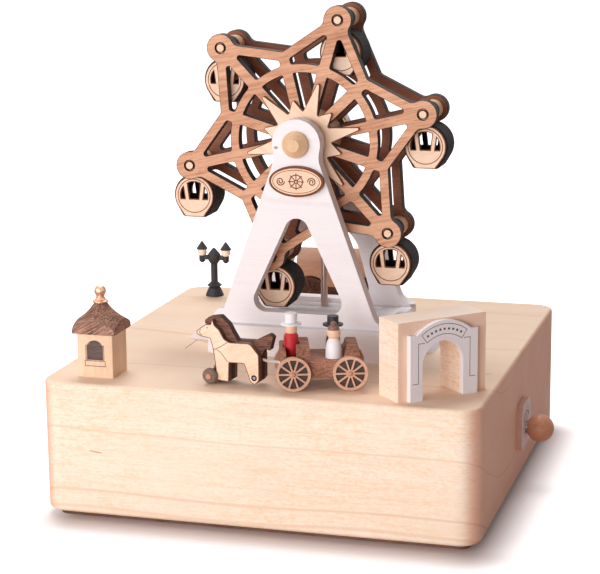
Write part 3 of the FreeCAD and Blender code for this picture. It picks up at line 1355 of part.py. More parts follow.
def main():
    os.makedirs("parts", exist_ok=True)
    save("base_block", base_block())
    save("bottom_plate", bottom_plate())
    save("base_screws", base_screws())
    save("brass_bushes", brass_bushes())
    save("stand_block", stand_block())
    save("boarding_ramps", boarding_ramps())
    save("front_frame", a_frame(FRAME_FRONT_Y, front_window()))
    save("rear_frame", a_frame(FRAME_REAR_Y, rear_window()))
    save("plaque", plaque())
    save("rod_bracket", rod_bracket())

    star = shift(star_plate(), 0, 0, AXLE_Z)
    save("front_star", shift(star, 0, FRONT_STAR_Y, 0))
    save("rear_star", shift(star, 0, REAR_STAR_Y, 0))
    save("sunburst", sunburst())
    save("wheel_axle", wheel_axle())
    save("hub_spool", hub_spool())
    save("hub_caps", hub_caps())
    save("wheel_crown_gear", wheel_crown())
    save("lobe_spacers", lobe_spacers())

    shell = cabin_shell()
    fronts = cabin_fronts()
    for number, (u, v) in enumerate(lobe_centres(), start=1):
        save(f"cabin_{number}", shift(shell, u, 0, AXLE_Z + v))
        save(f"cabin_{number}_faces", [shift(s, u, 0, AXLE_Z + v) for s in fronts])

    save("drive_rod", drive_rod())
    save("centre_shaft", centre_shaft())
    save("centre_gears", centre_gears())
    save("magnet_arm", magnet_arm())
    save("arm_magnets", arm_magnets())
    save("crank_shaft", crank_shaft())
    save("crank_knob", crank_knob())
    save("crank_plate", crank_plate())
    save("music_drum", music_drum())
    save("movement_bed", movement_bed())
    save("music_comb", music_comb())

    save("kiosk_walls", kiosk_walls())
    save("kiosk_roof", kiosk_roof())
    save("kiosk_finial", kiosk_finial())
    save("lamp_post", lamp_post())
    save("lamp_lanterns", lamp_lanterns())
    save("gate_block", gate_block())
    save("gate_plate", gate_plate())

    save("cart_body", cart_body())
    save("cart_front_wheels", cart_wheels(CART_AXLE_FRONT, TRACK_R, CART_DEG))
    save("cart_rear_wheels", cart_wheels(CART_AXLE_REAR, TRACK_R, CART_DEG))
    driver, passengers = figures()
    save("driver", driver)
    save("passengers", passengers)
    save("horse_core", horse_core())
    save("horse_sides", horse_sides())
    save("horse_wheels", horse_wheels())
    save("tow_cord", tow_cord())
    save("wagon_body", wagon_body())
    save("wagon_front_wheels", wagon_wheels(-WAGON_AXLE_X))
    save("wagon_rear_wheels", wagon_wheels(WAGON_AXLE_X))


main()
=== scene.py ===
import bpy
import numpy as np
import math
from mathutils import Matrix, Vector


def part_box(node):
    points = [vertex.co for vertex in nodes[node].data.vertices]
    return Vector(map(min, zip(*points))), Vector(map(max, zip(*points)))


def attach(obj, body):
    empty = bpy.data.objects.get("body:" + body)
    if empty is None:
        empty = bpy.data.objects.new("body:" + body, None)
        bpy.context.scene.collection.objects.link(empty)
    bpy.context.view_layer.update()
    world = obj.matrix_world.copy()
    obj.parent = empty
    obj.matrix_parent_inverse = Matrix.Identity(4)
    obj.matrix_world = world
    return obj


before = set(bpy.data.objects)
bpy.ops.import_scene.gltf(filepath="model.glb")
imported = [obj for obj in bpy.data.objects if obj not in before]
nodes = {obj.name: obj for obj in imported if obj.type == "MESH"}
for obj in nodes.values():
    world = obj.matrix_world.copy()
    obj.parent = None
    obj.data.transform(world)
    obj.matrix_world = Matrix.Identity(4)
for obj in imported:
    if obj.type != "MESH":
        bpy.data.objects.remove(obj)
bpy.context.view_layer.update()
mm = 0.001
print("frame loaded:", len(nodes), "nodes")


# colours are written as they look on a screen, 0 to 255
def tint(red, green, blue):
    parts = [c / 255 for c in (red, green, blue)]
    linear = [c / 12.92 if c <= 0.04045 else ((c + 0.055) / 1.055) ** 2.4 for c in parts]
    return (*linear, 1.0)


# small helpers for node trees: each returns an output socket
def feed(tree, socket, value):
    if isinstance(value, bpy.types.NodeSocket):
        tree.links.new(value, socket)
    else:
        socket.default_value = value


def calc(tree, operation, first, second=0.0, third=0.0, clamp=False):
    node = tree.nodes.new("ShaderNodeMath")
    node.operation = operation
    node.use_clamp = clamp
    for socket, value in zip(node.inputs, (first, second, third)):
        feed(tree, socket, value)
    return node.outputs[0]


def vectorCalc(tree, operation, first, second=(0, 0, 0)):
    node = tree.nodes.new("ShaderNodeVectorMath")
    node.operation = operation
    feed(tree, node.inputs[0], first)
    feed(tree, node.inputs[1], second)
    return node.outputs["Value"] if operation in ("DOT_PRODUCT", "LENGTH") else node.outputs[0]


def mixColour(tree, amount, first, second):
    node = tree.nodes.new("ShaderNodeMix")
    node.data_type = "RGBA"
    feed(tree, node.inputs["Factor"], amount)
    feed(tree, node.inputs["A"], first)
    feed(tree, node.inputs["B"], second)
    return [s for s in node.outputs if s.type == "RGBA"][0]


def noiseAt(tree, where, scale, detail=3.0, rough=0.5, twist=0.0):
    node = tree.nodes.new("ShaderNodeTexNoise")
    feed(tree, node.inputs["Vector"], where)
    feed(tree, node.inputs["Scale"], scale)
    node.inputs["Detail"].default_value = detail
    node.inputs["Roughness"].default_value = rough
    node.inputs["Distortion"].default_value = twist
    return node.outputs["Fac"]


def ramp(tree, value, low, high, start=0.0, end=1.0):
    node = tree.nodes.new("ShaderNodeMapRange")
    node.interpolation_type = "SMOOTHSTEP"
    for name, given in (("Value", value), ("From Min", low), ("From Max", high),
                        ("To Min", start), ("To Max", end)):
        feed(tree, node.inputs[name], given)
    return node.outputs["Result"]


def axesOf(tree, vector):
    node = tree.nodes.new("ShaderNodeSeparateXYZ")
    feed(tree, node.inputs[0], vector)
    return node.outputs[0], node.outputs[1], node.outputs[2]


def placed(tree, location=(0, 0, 0), rotation=(0, 0, 0), scale=(1, 1, 1)):
    coord = tree.nodes.new("ShaderNodeTexCoord")
    mapping = tree.nodes.new("ShaderNodeMapping")
    mapping.inputs["Location"].default_value = location
    mapping.inputs["Rotation"].default_value = rotation
    mapping.inputs["Scale"].default_value = scale
    tree.links.new(coord.outputs["Object"], mapping.inputs["Vector"])
    return mapping.outputs["Vector"]


def newGroup(name, inputs, outputs):
    group = bpy.data.node_groups.new(name, "ShaderNodeTree")
    for label, kind, value in inputs:
        socket = group.interface.new_socket(name=label, in_out="INPUT", socket_type=kind)
        if value is not None:
            socket.default_value = value
    for label, kind in outputs:
        group.interface.new_socket(name=label, in_out="OUTPUT", socket_type=kind)
    entry = group.nodes.new("NodeGroupInput")
    leave = group.nodes.new("NodeGroupOutput")
    return group, entry.outputs, leave.inputs


def useGroup(tree, group, **values):
    node = tree.nodes.new("ShaderNodeGroup")
    node.node_tree = group
    for label, value in values.items():
        feed(tree, node.inputs[label], value)
    return node.outputs


# wood figure: slow bands, fine fibres and short pores, all long along the X of Coord
def makeWoodFigure():
    group, given, out = newGroup(
        "woodFigure",
        [("Coord", "NodeSocketVector", None), ("Pale", "NodeSocketColor", (1, 1, 1, 1)),
         ("Dark", "NodeSocketColor", (0.5, 0.4, 0.3, 1)), ("Bands", "NodeSocketFloat", 0.5),
         ("Fibre", "NodeSocketFloat", 0.3), ("Curl", "NodeSocketFloat", 0.2),
         ("Size", "NodeSocketFloat", 1.0)],
        [("Colour", "NodeSocketColor"), ("Grain", "NodeSocketFloat"),
         ("Height", "NodeSocketFloat")])
    scaled = group.nodes.new("ShaderNodeVectorMath")
    scaled.operation = "SCALE"
    feed(group, scaled.inputs[0], given["Coord"])
    feed(group, scaled.inputs["Scale"], given["Size"])
    coord = scaled.outputs[0]
    long = vectorCalc(group, "MULTIPLY", coord, (9.0, 75.0, 75.0))
    bands = ramp(group, noiseAt(group, long, 1.0, 4.0, 0.55, 0.6), 0.3, 0.72)
    thin = vectorCalc(group, "MULTIPLY", coord, (70.0, 1500.0, 1500.0))
    fibre = ramp(group, noiseAt(group, thin, 1.0, 3.0, 0.6), 0.35, 0.75)
    short = vectorCalc(group, "MULTIPLY", coord, (420.0, 2600.0, 2600.0))
    pores = ramp(group, noiseAt(group, short, 1.0, 2.0, 0.5), 0.62, 0.74)
    across = vectorCalc(group, "MULTIPLY", coord, (210.0, 60.0, 60.0))
    curl = ramp(group, noiseAt(group, across, 1.0, 3.0, 0.55, 0.9), 0.38, 0.7)
    total = calc(group, "MULTIPLY", bands, given["Bands"])
    total = calc(group, "MULTIPLY_ADD", fibre, given["Fibre"], total)
    total = calc(group, "MULTIPLY_ADD", curl, given["Curl"], total)
    total = calc(group, "MULTIPLY_ADD", pores, given["Fibre"], total, clamp=True)
    feed(group, out["Colour"], mixColour(group, total, given["Pale"], given["Dark"]))
    feed(group, out["Grain"], total)
    height = calc(group, "MULTIPLY_ADD", fibre, -0.6, calc(group, "MULTIPLY", pores, -0.8))
    feed(group, out["Height"], height)
    return group


# 1 on faces square to the plate, 0 on its cut edges
def makeCutEdge():
    group, given, out = newGroup(
        "cutEdge",
        [("Across", "NodeSocketVector", (0, 1, 0)), ("From", "NodeSocketFloat", 0.35),
         ("To", "NodeSocketFloat", 0.8)],
        [("Face", "NodeSocketFloat")])
    coord = group.nodes.new("ShaderNodeTexCoord")
    facing = calc(group, "ABSOLUTE", vectorCalc(group, "DOT_PRODUCT",
                                                coord.outputs["Normal"], given["Across"]))
    feed(group, out["Face"], ramp(group, facing, given["From"], given["To"]))
    return group


# soft dirt and handling marks: a mask of slow patches and fine specks
def makeHandling():
    group, given, out = newGroup(
        "handling",
        [("Coord", "NodeSocketVector", None), ("Amount", "NodeSocketFloat", 0.3)],
        [("Mask", "NodeSocketFloat")])
    patches = ramp(group, noiseAt(group, given["Coord"], 38.0, 4.0, 0.6), 0.45, 0.8)
    specks = ramp(group, noiseAt(group, given["Coord"], 900.0, 2.0, 0.5), 0.6, 0.8)
    both = calc(group, "MULTIPLY_ADD", specks, 0.5, patches)
    feed(group, out["Mask"], calc(group, "MULTIPLY", both, given["Amount"], clamp=True))
    return group


# growth rings round a heart line that runs along X: uneven late-wood lines of r / spacing,
# where r is the distance from the heart plus a slow wander
def makeGrowthRings():
    group, given, out = newGroup(
        "growthRings",
        [("Coord", "NodeSocketVector", None), ("Heart", "NodeSocketVector", (0, 0, 0)),
         ("Count", "NodeSocketFloat", 220.0)],
        [("Lines", "NodeSocketFloat")])
    away = vectorCalc(group, "SUBTRACT", given["Coord"], given["Heart"])
    radius = vectorCalc(group, "LENGTH", vectorCalc(group, "MULTIPLY", away, (0.05, 1.0, 1.0)))
    wander = noiseAt(group, vectorCalc(group, "MULTIPLY", away, (7.0, 16.0, 16.0)), 1.0, 2.0, 0.5)
    radius = calc(group, "MULTIPLY_ADD", wander, 0.012, radius)
    combine = group.nodes.new("ShaderNodeCombineXYZ")
    feed(group, combine.inputs["X"], calc(group, "MULTIPLY", radius, given["Count"]))
    rings = noiseAt(group, combine.outputs[0], 1.0, 1.5, 0.5)
    feed(group, out["Lines"], ramp(group, rings, 0.56, 0.7))
    return group


# ray fleck: short dashes over long fine threads, seen on faces that look along Across
def makeRayFleck():
    group, given, out = newGroup(
        "rayFleck",
        [("Coord", "NodeSocketVector", None), ("Across", "NodeSocketVector", (0, 1, 0)),
         ("Scale", "NodeSocketVector", (620, 620, 1700)),
         ("Long", "NodeSocketVector", (110, 110, 1300))],
        [("Dashes", "NodeSocketFloat")])
    coord = group.nodes.new("ShaderNodeTexCoord")
    facing = calc(group, "ABSOLUTE", vectorCalc(group, "DOT_PRODUCT",
                                                coord.outputs["Normal"], given["Across"]))
    where = vectorCalc(group, "MULTIPLY", given["Coord"], given["Scale"])
    short = ramp(group, noiseAt(group, where, 1.0, 2.0, 0.5, 0.8), 0.45, 0.62)
    drawn = vectorCalc(group, "MULTIPLY", given["Coord"], given["Long"])
    long = ramp(group, noiseAt(group, drawn, 1.0, 2.0, 0.5, 0.5), 0.48, 0.62)
    dashes = calc(group, "MULTIPLY_ADD", long, 0.45, calc(group, "MULTIPLY", short, 0.6))
    patch = noiseAt(group, given["Coord"], 26.0, 2.0, 0.5)
    strength = calc(group, "MULTIPLY", ramp(group, facing, 0.3, 0.8),
                    ramp(group, patch, 0.25, 0.7, 0.45, 1.0))
    feed(group, out["Dashes"], calc(group, "MULTIPLY", dashes, strength))
    return group


woodFigure = makeWoodFigure()
growthRings = makeGrowthRings()
rayFleck = makeRayFleck()
cutEdge = makeCutEdge()
handling = makeHandling()
print("shader groups made")


def newMaterial(name):
    material = bpy.data.materials.new(name)
    material.use_nodes = True
    tree = material.node_tree
    shader = tree.nodes["Principled BSDF"]
    return material, tree, shader


def bumpFrom(tree, shader, height, strength, distance):
    node = tree.nodes.new("ShaderNodeBump")
    node.inputs["Strength"].default_value = strength
    node.inputs["Distance"].default_value = distance
    feed(tree, node.inputs["Height"], height)
    tree.links.new(node.outputs["Normal"], shader.inputs["Normal"])


# a wooden finish, with growth rings and ray fleck where they are given, and painted shade by
# facing: faces along a given direction are multiplied by a tone, as light falls on them;
# burnt is the colour of laser-cut edges across the plate
def woodMaterial(name, look):
    material, tree, shader = newMaterial(name)
    coord = placed(tree, rotation=look.get("turn", (0, 0, 0)))
    figure = useGroup(tree, woodFigure, Coord=coord, Pale=look["pale"], Dark=look["dark"],
                      Bands=look.get("bands", 0.5), Fibre=look.get("fibre", 0.3),
                      Curl=look.get("curl", 0.1), Size=look.get("size", 1.0))
    colour = figure["Colour"]
    if "rings" in look:
        rings = useGroup(tree, growthRings, Coord=coord, Heart=look["heart"], Count=look["count"])
        lines = calc(tree, "MULTIPLY", rings["Lines"], look["rings"])
        colour = mixColour(tree, lines, colour, look["line"])
    if "fleck" in look:
        dashes = useGroup(tree, rayFleck, Coord=coord, Across=look["fleckFace"])["Dashes"]
        dashes = calc(tree, "MULTIPLY", dashes, look["fleck"])
        colour = mixColour(tree, dashes, colour, look["fleckTone"])
    # painted shade: faces along each given direction take a darker, redder tone, as if shaded
    for direction, shadeTone in look.get("paintedShadeByFacing", []):
        face = useGroup(tree, cutEdge, Across=direction, From=0.25, To=0.85)["Face"]
        shaded = tree.nodes.new("ShaderNodeMix")
        shaded.data_type = "RGBA"
        shaded.blend_type = "MULTIPLY"
        feed(tree, shaded.inputs["Factor"], face)
        feed(tree, shaded.inputs["A"], colour)
        feed(tree, shaded.inputs["B"], shadeTone)
        colour = [out for out in shaded.outputs if out.type == "RGBA"][0]
    soil = useGroup(tree, handling, Coord=coord, Amount=look.get("handled", 0.15))["Mask"]
    if "burnt" in look:
        face = useGroup(tree, cutEdge, Across=look["across"])["Face"]
        ash = mixColour(tree, soil, look["burnt"], look.get("ash", look["burnt"]))
        colour = mixColour(tree, face, ash, colour)
    colour = mixColour(tree, soil, colour, look.get("soil", look["dark"]))
    feed(tree, shader.inputs["Base Color"], colour)
    rough = calc(tree, "MULTIPLY_ADD", figure["Grain"], 0.12, look.get("rough", 0.48))
    feed(tree, shader.inputs["Roughness"], rough)
    shader.inputs["Specular IOR Level"].default_value = look.get("shine", 0.35)
    bumpFrom(tree, shader, figure["Height"], look.get("bump", 0.12), 0.0002)
    return material


def paintedMaterial(name, look):
    material, tree, shader = newMaterial(name)
    coord = placed(tree)
    soil = useGroup(tree, handling, Coord=coord, Amount=look.get("handled", 0.2))["Mask"]
    feed(tree, shader.inputs["Base Color"], mixColour(tree, soil, look["colour"], look["worn"]))
    feed(tree, shader.inputs["Roughness"],
         calc(tree, "MULTIPLY_ADD", soil, 0.25, look.get("rough", 0.5)))
    shader.inputs["Specular IOR Level"].default_value = look.get("shine", 0.4)
    fine = noiseAt(tree, coord, look.get("grit", 1800.0), 3.0, 0.6)
    bumpFrom(tree, shader, fine, look.get("bump", 0.15), 0.0001)
    return material


def metalMaterial(name, look):
    material, tree, shader = newMaterial(name)
    coord = placed(tree, scale=look.get("stretch", (1, 1, 1)))
    lines = noiseAt(tree, coord, 700.0, 3.0, 0.6)
    feed(tree, shader.inputs["Base Color"], mixColour(tree, lines, look["colour"], look["deep"]))
    shader.inputs["Metallic"].default_value = 1.0
    feed(tree, shader.inputs["Roughness"],
         calc(tree, "MULTIPLY_ADD", lines, 0.2, look.get("rough", 0.2)))
    bumpFrom(tree, shader, lines, 0.08, 0.0001)
    return material


# paint in zones that change with the height above the seat, in millimetres
def zonedMaterial(name, look):
    material, tree, shader = newMaterial(name)
    coord = placed(tree)
    height = axesOf(tree, coord)[2]
    colour = look["zones"][0][1]
    for level, paint in look["zones"][1:]:
        edge = (look["seat"] + level) * mm
        above = ramp(tree, height, edge - 0.06 * mm, edge + 0.06 * mm)
        colour = mixColour(tree, above, colour, paint)
    soil = useGroup(tree, handling, Coord=coord, Amount=0.25)["Mask"]
    feed(tree, shader.inputs["Base Color"], mixColour(tree, soil, colour, look["worn"]))
    shader.inputs["Roughness"].default_value = 0.45
    fine = noiseAt(tree, coord, 2400.0, 3.0, 0.6)
    bumpFrom(tree, shader, fine, 0.12, 0.0001)
    return material


quarter = math.pi / 2
woodLooks = {
    "baseMaple": {"pale": tint(255, 240, 222), "dark": tint(242, 214, 186), "bands": 0.35,
                  "fibre": 0.12, "curl": 0.12, "rough": 0.5, "size": 0.55,
                  "heart": (0.03, -0.02, 0.115), "count": 440.0, "rings": 0.42,
                  "line": tint(214, 160, 122), "fleck": 0.7, "fleckFace": (0, 1, 0),
                  "fleckTone": tint(244, 200, 156),
                  # painted shade: the base's sides along X take a darker, pinker tone and its top a
                  # slightly darker, warmer one
                  "paintedShadeByFacing": [((1, 0, 0), tint(246, 214, 204)), ((0, 0, 1), tint(253, 240, 231))]},
    "plainMaple": {"pale": tint(240, 204, 166), "dark": tint(214, 166, 124), "bands": 0.5,
                   "fibre": 0.3, "curl": 0.2, "rough": 0.5, "turn": (0, quarter, 0)},
    "deckMaple": {"pale": tint(250, 222, 194), "dark": tint(228, 186, 150), "bands": 0.5,
                  "fibre": 0.35, "curl": 0.25, "turn": (0, quarter, 0)},
    "whiteWood": {"pale": tint(248, 244, 248), "dark": tint(236, 226, 224), "bands": 0.3,
                  "fibre": 0.2, "curl": 0.0, "rough": 0.55, "handled": 0.1,
                  "heart": (0.0, 0.05, -0.2), "count": 150.0, "rings": 0.3,
                  "line": tint(222, 206, 200)},
    "gateMaple": {"pale": tint(255, 238, 222), "dark": tint(244, 216, 192), "bands": 0.4,
                  "fibre": 0.15, "curl": 0.1, "rough": 0.5, "fleck": 0.7,
                  "fleckFace": (math.sqrt(0.5), math.sqrt(0.5), 0),
                  "fleckTone": tint(236, 188, 142),
                  # painted shade: the gate's face towards the front right takes a darker, pinker
                  # tone
                  "paintedShadeByFacing": [((math.sqrt(0.5), -math.sqrt(0.5), 0), tint(250, 232, 222))]},
    "horseMaple": {"pale": tint(252, 230, 206), "dark": tint(232, 192, 158), "bands": 0.4,
                   "fibre": 0.4, "curl": 0.15, "rough": 0.55, "burnt": tint(92, 58, 44),
                   "ash": tint(140, 96, 74), "across": (-0.122, -0.993, 0),
                   "turn": (0, math.radians(25), 0)},
    "horseCore": {"pale": tint(140, 98, 78), "dark": tint(84, 52, 42), "bands": 0.5,
                  "fibre": 0.9, "curl": 0.1, "rough": 0.7, "bump": 0.4, "size": 1.6,
                  "burnt": tint(70, 44, 36), "ash": tint(112, 78, 64),
                  "across": (-0.122, -0.993, 0), "soil": tint(64, 40, 34), "handled": 0.4},
    "cartWalnut": {"pale": tint(192, 138, 112), "dark": tint(118, 76, 58), "bands": 0.5,
                   "fibre": 0.9, "curl": 0.1, "rough": 0.6, "bump": 0.3, "size": 1.6,
                   "soil": tint(102, 64, 50), "handled": 0.2},
    "roofWalnut": {"pale": tint(204, 158, 136), "dark": tint(104, 66, 50), "bands": 0.45,
                   "fibre": 1.0, "curl": 0.15, "rough": 0.65, "bump": 0.5, "size": 1.7,
                   "soil": tint(206, 166, 142), "handled": 0.3, "turn": (0, 0.5, 0)},
    # a paler maple as painted light, brightening lanterns that stand in shade
    "lanternMaplePaintedLight": {"pale": tint(255, 238, 220), "dark": tint(240, 210, 184), "bands": 0.4,
                     "fibre": 0.3, "rough": 0.45},
    "knotBrown": {"pale": tint(240, 204, 168), "dark": tint(214, 164, 124), "bands": 0.8,
                  "fibre": 0.9, "size": 2.0, "rough": 0.55},
    "greyWalnut": {"pale": tint(142, 116, 104), "dark": tint(92, 72, 66), "bands": 0.5,
                   "fibre": 0.6, "rough": 0.6, "size": 1.5},
    "hubBrown": {"pale": tint(206, 152, 122), "dark": tint(170, 116, 90), "bands": 0.4,
                 "fibre": 0.3, "rough": 0.4, "shine": 0.5},
    "starWood": {"pale": tint(232, 180, 146), "dark": tint(176, 116, 84), "bands": 0.35,
                 "fibre": 0.6, "curl": 0.0, "burnt": tint(34, 27, 27),
                 "ash": tint(74, 66, 66), "across": (0, 1, 0), "rough": 0.6,
                 "turn": (0, math.radians(12), 0)},
    "faceMaple": {"pale": tint(254, 224, 198), "dark": tint(226, 182, 146), "bands": 0.4,
                  "fibre": 0.25, "curl": 0.15, "burnt": tint(120, 70, 44),
                  "across": (0, 1, 0), "turn": (0, math.radians(20), 0)},
    "sunWood": {"pale": tint(254, 226, 200), "dark": tint(232, 190, 158), "bands": 0.5,
                "fibre": 0.2, "curl": 0.0, "heart": (0.0, 0.1, 0.3), "count": 190.0, "rings": 0.4,
                "line": tint(208, 158, 122), "turn": (0, math.radians(-38), 0),
                "burnt": tint(122, 70, 44), "across": (0, 1, 0)},
    "hullBlack": {"pale": tint(44, 40, 40), "dark": tint(26, 24, 25), "bands": 0.4,
                  "fibre": 0.6, "curl": 0.0, "rough": 0.75, "soil": tint(84, 78, 75),
                  "handled": 0.35, "bump": 0.4, "shine": 0.25},
    # dark walnut, its darkness partly painted shade: the wagon's chassis and wheels sit under its
    # overhanging body
    "darkWalnutAndShade": {"pale": tint(112, 68, 50), "dark": tint(58, 32, 26), "bands": 0.6,
                   "fibre": 0.8, "curl": 0.0, "rough": 0.62, "bump": 0.35, "size": 1.6},
    "knobMaple": {"pale": tint(228, 168, 134), "dark": tint(188, 124, 94), "bands": 0.6,
                  "fibre": 0.4, "curl": 0.1, "rough": 0.42},
    # the rear star's wood, darkened and reddened as painted shade: it stands in the front star's
    # shadow
    "rearStarPaintedShade": {"pale": tint(158, 104, 80), "dark": tint(124, 74, 56), "bands": 0.35,
                     "fibre": 0.45, "curl": 0.0, "burnt": tint(40, 28, 27),
                     "ash": tint(92, 78, 76), "across": (0, 1, 0), "rough": 0.65,
                     "turn": (0, math.radians(-8), 0)},
    # burnt-edge dark, for laser-cut rims; on the cabins' inner faces it is painted shade
    "scorchAndShade": {"pale": tint(44, 32, 32), "dark": tint(24, 20, 24), "bands": 0.5,
               "fibre": 0.5, "rough": 0.8, "shine": 0.15, "soil": tint(84, 60, 50),
               "handled": 0.3},
    "brownBurn": {"pale": tint(142, 82, 52), "dark": tint(96, 48, 30), "bands": 0.5,
                  "fibre": 0.5, "rough": 0.75, "shine": 0.2, "soil": tint(176, 116, 78),
                  "handled": 0.6},
    "lineBrown": {"pale": tint(176, 118, 84), "dark": tint(140, 84, 56), "bands": 0.5,
                  "fibre": 0.5, "rough": 0.75, "shine": 0.2},
    "inkGrey": {"pale": tint(112, 100, 100), "dark": tint(78, 68, 68), "bands": 0.5,
                "fibre": 0.4, "rough": 0.7, "shine": 0.2},
    "paneDark": {"pale": tint(112, 94, 88), "dark": tint(78, 62, 58), "bands": 0.5,
                 "fibre": 0.5, "rough": 0.7, "shine": 0.25},
    "wheelPale": {"pale": tint(226, 182, 156), "dark": tint(196, 148, 122), "bands": 0.5,
                  "fibre": 0.4, "rough": 0.6},
    "webDark": {"pale": tint(92, 78, 74), "dark": tint(58, 48, 48), "bands": 0.5,
                "fibre": 0.4, "rough": 0.7, "shine": 0.25},
    "tanCard": {"pale": tint(204, 160, 134), "dark": tint(172, 126, 102), "bands": 0.3,
                "fibre": 0.35, "rough": 0.7, "soil": tint(150, 98, 74)},
    "knobPlate": {"pale": tint(244, 234, 234), "dark": tint(226, 212, 208), "bands": 0.3,
                  "fibre": 0.2, "rough": 0.55, "burnt": tint(222, 178, 156),
                  "across": (1, 0, 0), "turn": (0, 0, quarter)},
    # plywood darkened as painted shade: the bottom plate sits in the contact shadow under the base;
    # the hidden magnet arm shares it
    "plywoodPaintedShade": {"pale": tint(132, 98, 80), "dark": tint(90, 62, 50), "bands": 0.6,
                "fibre": 0.5, "curl": 0.1, "rough": 0.65, "turn": (0, 0, quarter)},
}
paintLooks = {
    "whitePaint": {"colour": tint(240, 234, 236), "worn": tint(228, 218, 218), "rough": 0.5},
    "blackPaint": {"colour": tint(46, 43, 44), "worn": tint(76, 70, 70), "rough": 0.55,
                   "handled": 0.5},
    "whiteCotton": {"colour": tint(235, 230, 224), "worn": tint(214, 204, 196), "rough": 0.9,
                    "grit": 5200.0, "bump": 0.5, "shine": 0.2},
}
metalLooks = {
    "steel": {"colour": tint(205, 205, 208), "deep": tint(150, 150, 154), "rough": 0.18,
              "stretch": (1, 1, 0.05)},
    "copper": {"colour": tint(242, 200, 168), "deep": tint(214, 160, 128), "rough": 0.26},
    "brass": {"colour": tint(224, 186, 116), "deep": tint(176, 132, 70), "rough": 0.3},
    "castIron": {"colour": tint(140, 140, 142), "deep": tint(96, 96, 98), "rough": 0.55},
    "nickel": {"colour": tint(214, 214, 218), "deep": tint(170, 170, 175), "rough": 0.2},
    # steel tinted warm brown as a painted reflection of the wood around the rod
    "rodSteelPaintedReflection": {"colour": tint(204, 178, 166), "deep": tint(150, 122, 110), "rough": 0.25,
                 "stretch": (1, 1, 0.05)},
}
zoneLooks = {
    "driverPaint": {"seat": 57.6, "worn": tint(170, 60, 56),
                    "zones": [(0, tint(196, 36, 44)), (7.7, tint(238, 196, 162)),
                              (10.2, tint(240, 236, 238))]},
    "bridePaint": {"seat": 57.6, "worn": tint(214, 204, 204),
                   "zones": [(0, tint(240, 236, 238)), (6.4, tint(238, 196, 162)),
                             (9.3, tint(112, 66, 42))]},
    "groomPaint": {"seat": 57.6, "worn": tint(72, 64, 64),
                   "zones": [(0, tint(42, 38, 40)), (6.4, tint(238, 196, 162)),
                             (9.0, tint(38, 34, 36))]},
}
finishes = {name: woodMaterial(name, look) for name, look in woodLooks.items()}
finishes.update({name: paintedMaterial(name, look) for name, look in paintLooks.items()})
finishes.update({name: metalMaterial(name, look) for name, look in metalLooks.items()})
finishes.update({name: zonedMaterial(name, look) for name, look in zoneLooks.items()})

nodeFinish = {
    "base_block": "baseMaple", "bottom_plate": "plywoodPaintedShade", "base_screws": "steel",
    "brass_bushes": "brass", "stand_block": "whiteWood", "boarding_ramps": "whitePaint",
    "front_frame": "whiteWood", "rear_frame": "whiteWood", "plaque": "faceMaple",
    "rod_bracket": "whiteWood", "crank_plate": "knobPlate", "movement_bed": "castIron",
    "music_comb": "steel", "kiosk_walls": "deckMaple", "kiosk_roof": "roofWalnut",
    "kiosk_finial": "copper", "lamp_post": "blackPaint", "lamp_lanterns": "lanternMaplePaintedLight",
    "gate_block": "gateMaple", "gate_plate": "whitePaint",
    "front_star": "starWood", "rear_star": "rearStarPaintedShade", "sunburst": "sunWood",
    "wheel_axle": "steel", "hub_spool": "plainMaple", "hub_caps": "plainMaple",
    "wheel_crown_gear": "brass", "lobe_spacers": "plainMaple",
    "drive_rod": "rodSteelPaintedReflection", "centre_shaft": "steel", "centre_gears": "brass",
    "magnet_arm": "plywoodPaintedShade", "arm_magnets": "nickel", "crank_shaft": "steel",
    "crank_knob": "knobMaple", "music_drum": "brass",
    "cart_body": "cartWalnut", "driver": "driverPaint", "passengers": "bridePaint",
    "horse_core": "horseCore", "horse_sides": "horseMaple", "tow_cord": "whiteCotton",
    "cart_front_wheels": "wheelPale", "cart_rear_wheels": "wheelPale",
    "horse_wheels": "greyWalnut", "wagon_body": "tanCard", "wagon_front_wheels": "darkWalnutAndShade",
    "wagon_rear_wheels": "darkWalnutAndShade",
}
for number in range(1, 7):
    nodeFinish[f"cabin_{number}"] = "hullBlack"
    nodeFinish[f"cabin_{number}_faces"] = "faceMaple"


def dress(node, finish):
    mesh = nodes[node].data
    mesh.materials.clear()
    mesh.materials.append(finishes[finish])


for node, finish in nodeFinish.items():
    dress(node, finish)
print("materials placed on", len(nodeFinish), "nodes")


# ---- surface work: burnt rims, engraved lines and inlaid colours
proud = 0.02 * mm
front = np.array([0.0, -1.0, 0.0])
backward = np.array([0.0, 1.0, 0.0])
upward = np.array([0.0, 0.0, 1.0])
rightward = np.array([1.0, 0.0, 0.0])

# the toy's main places, in millimetres; those on the track have a radius and degrees
toy = {"axleHeight": 122.0, "lobeReach": 43.45, "firstLobe": 13.5, "starFace": -13.72,
       "cabinFace": -9.5, "cabinDrop": 11.55, "deck": 47.4, "track": 47.6,
       "cart": (60.3, -71.2), "horse": (63.7, -97.0)}


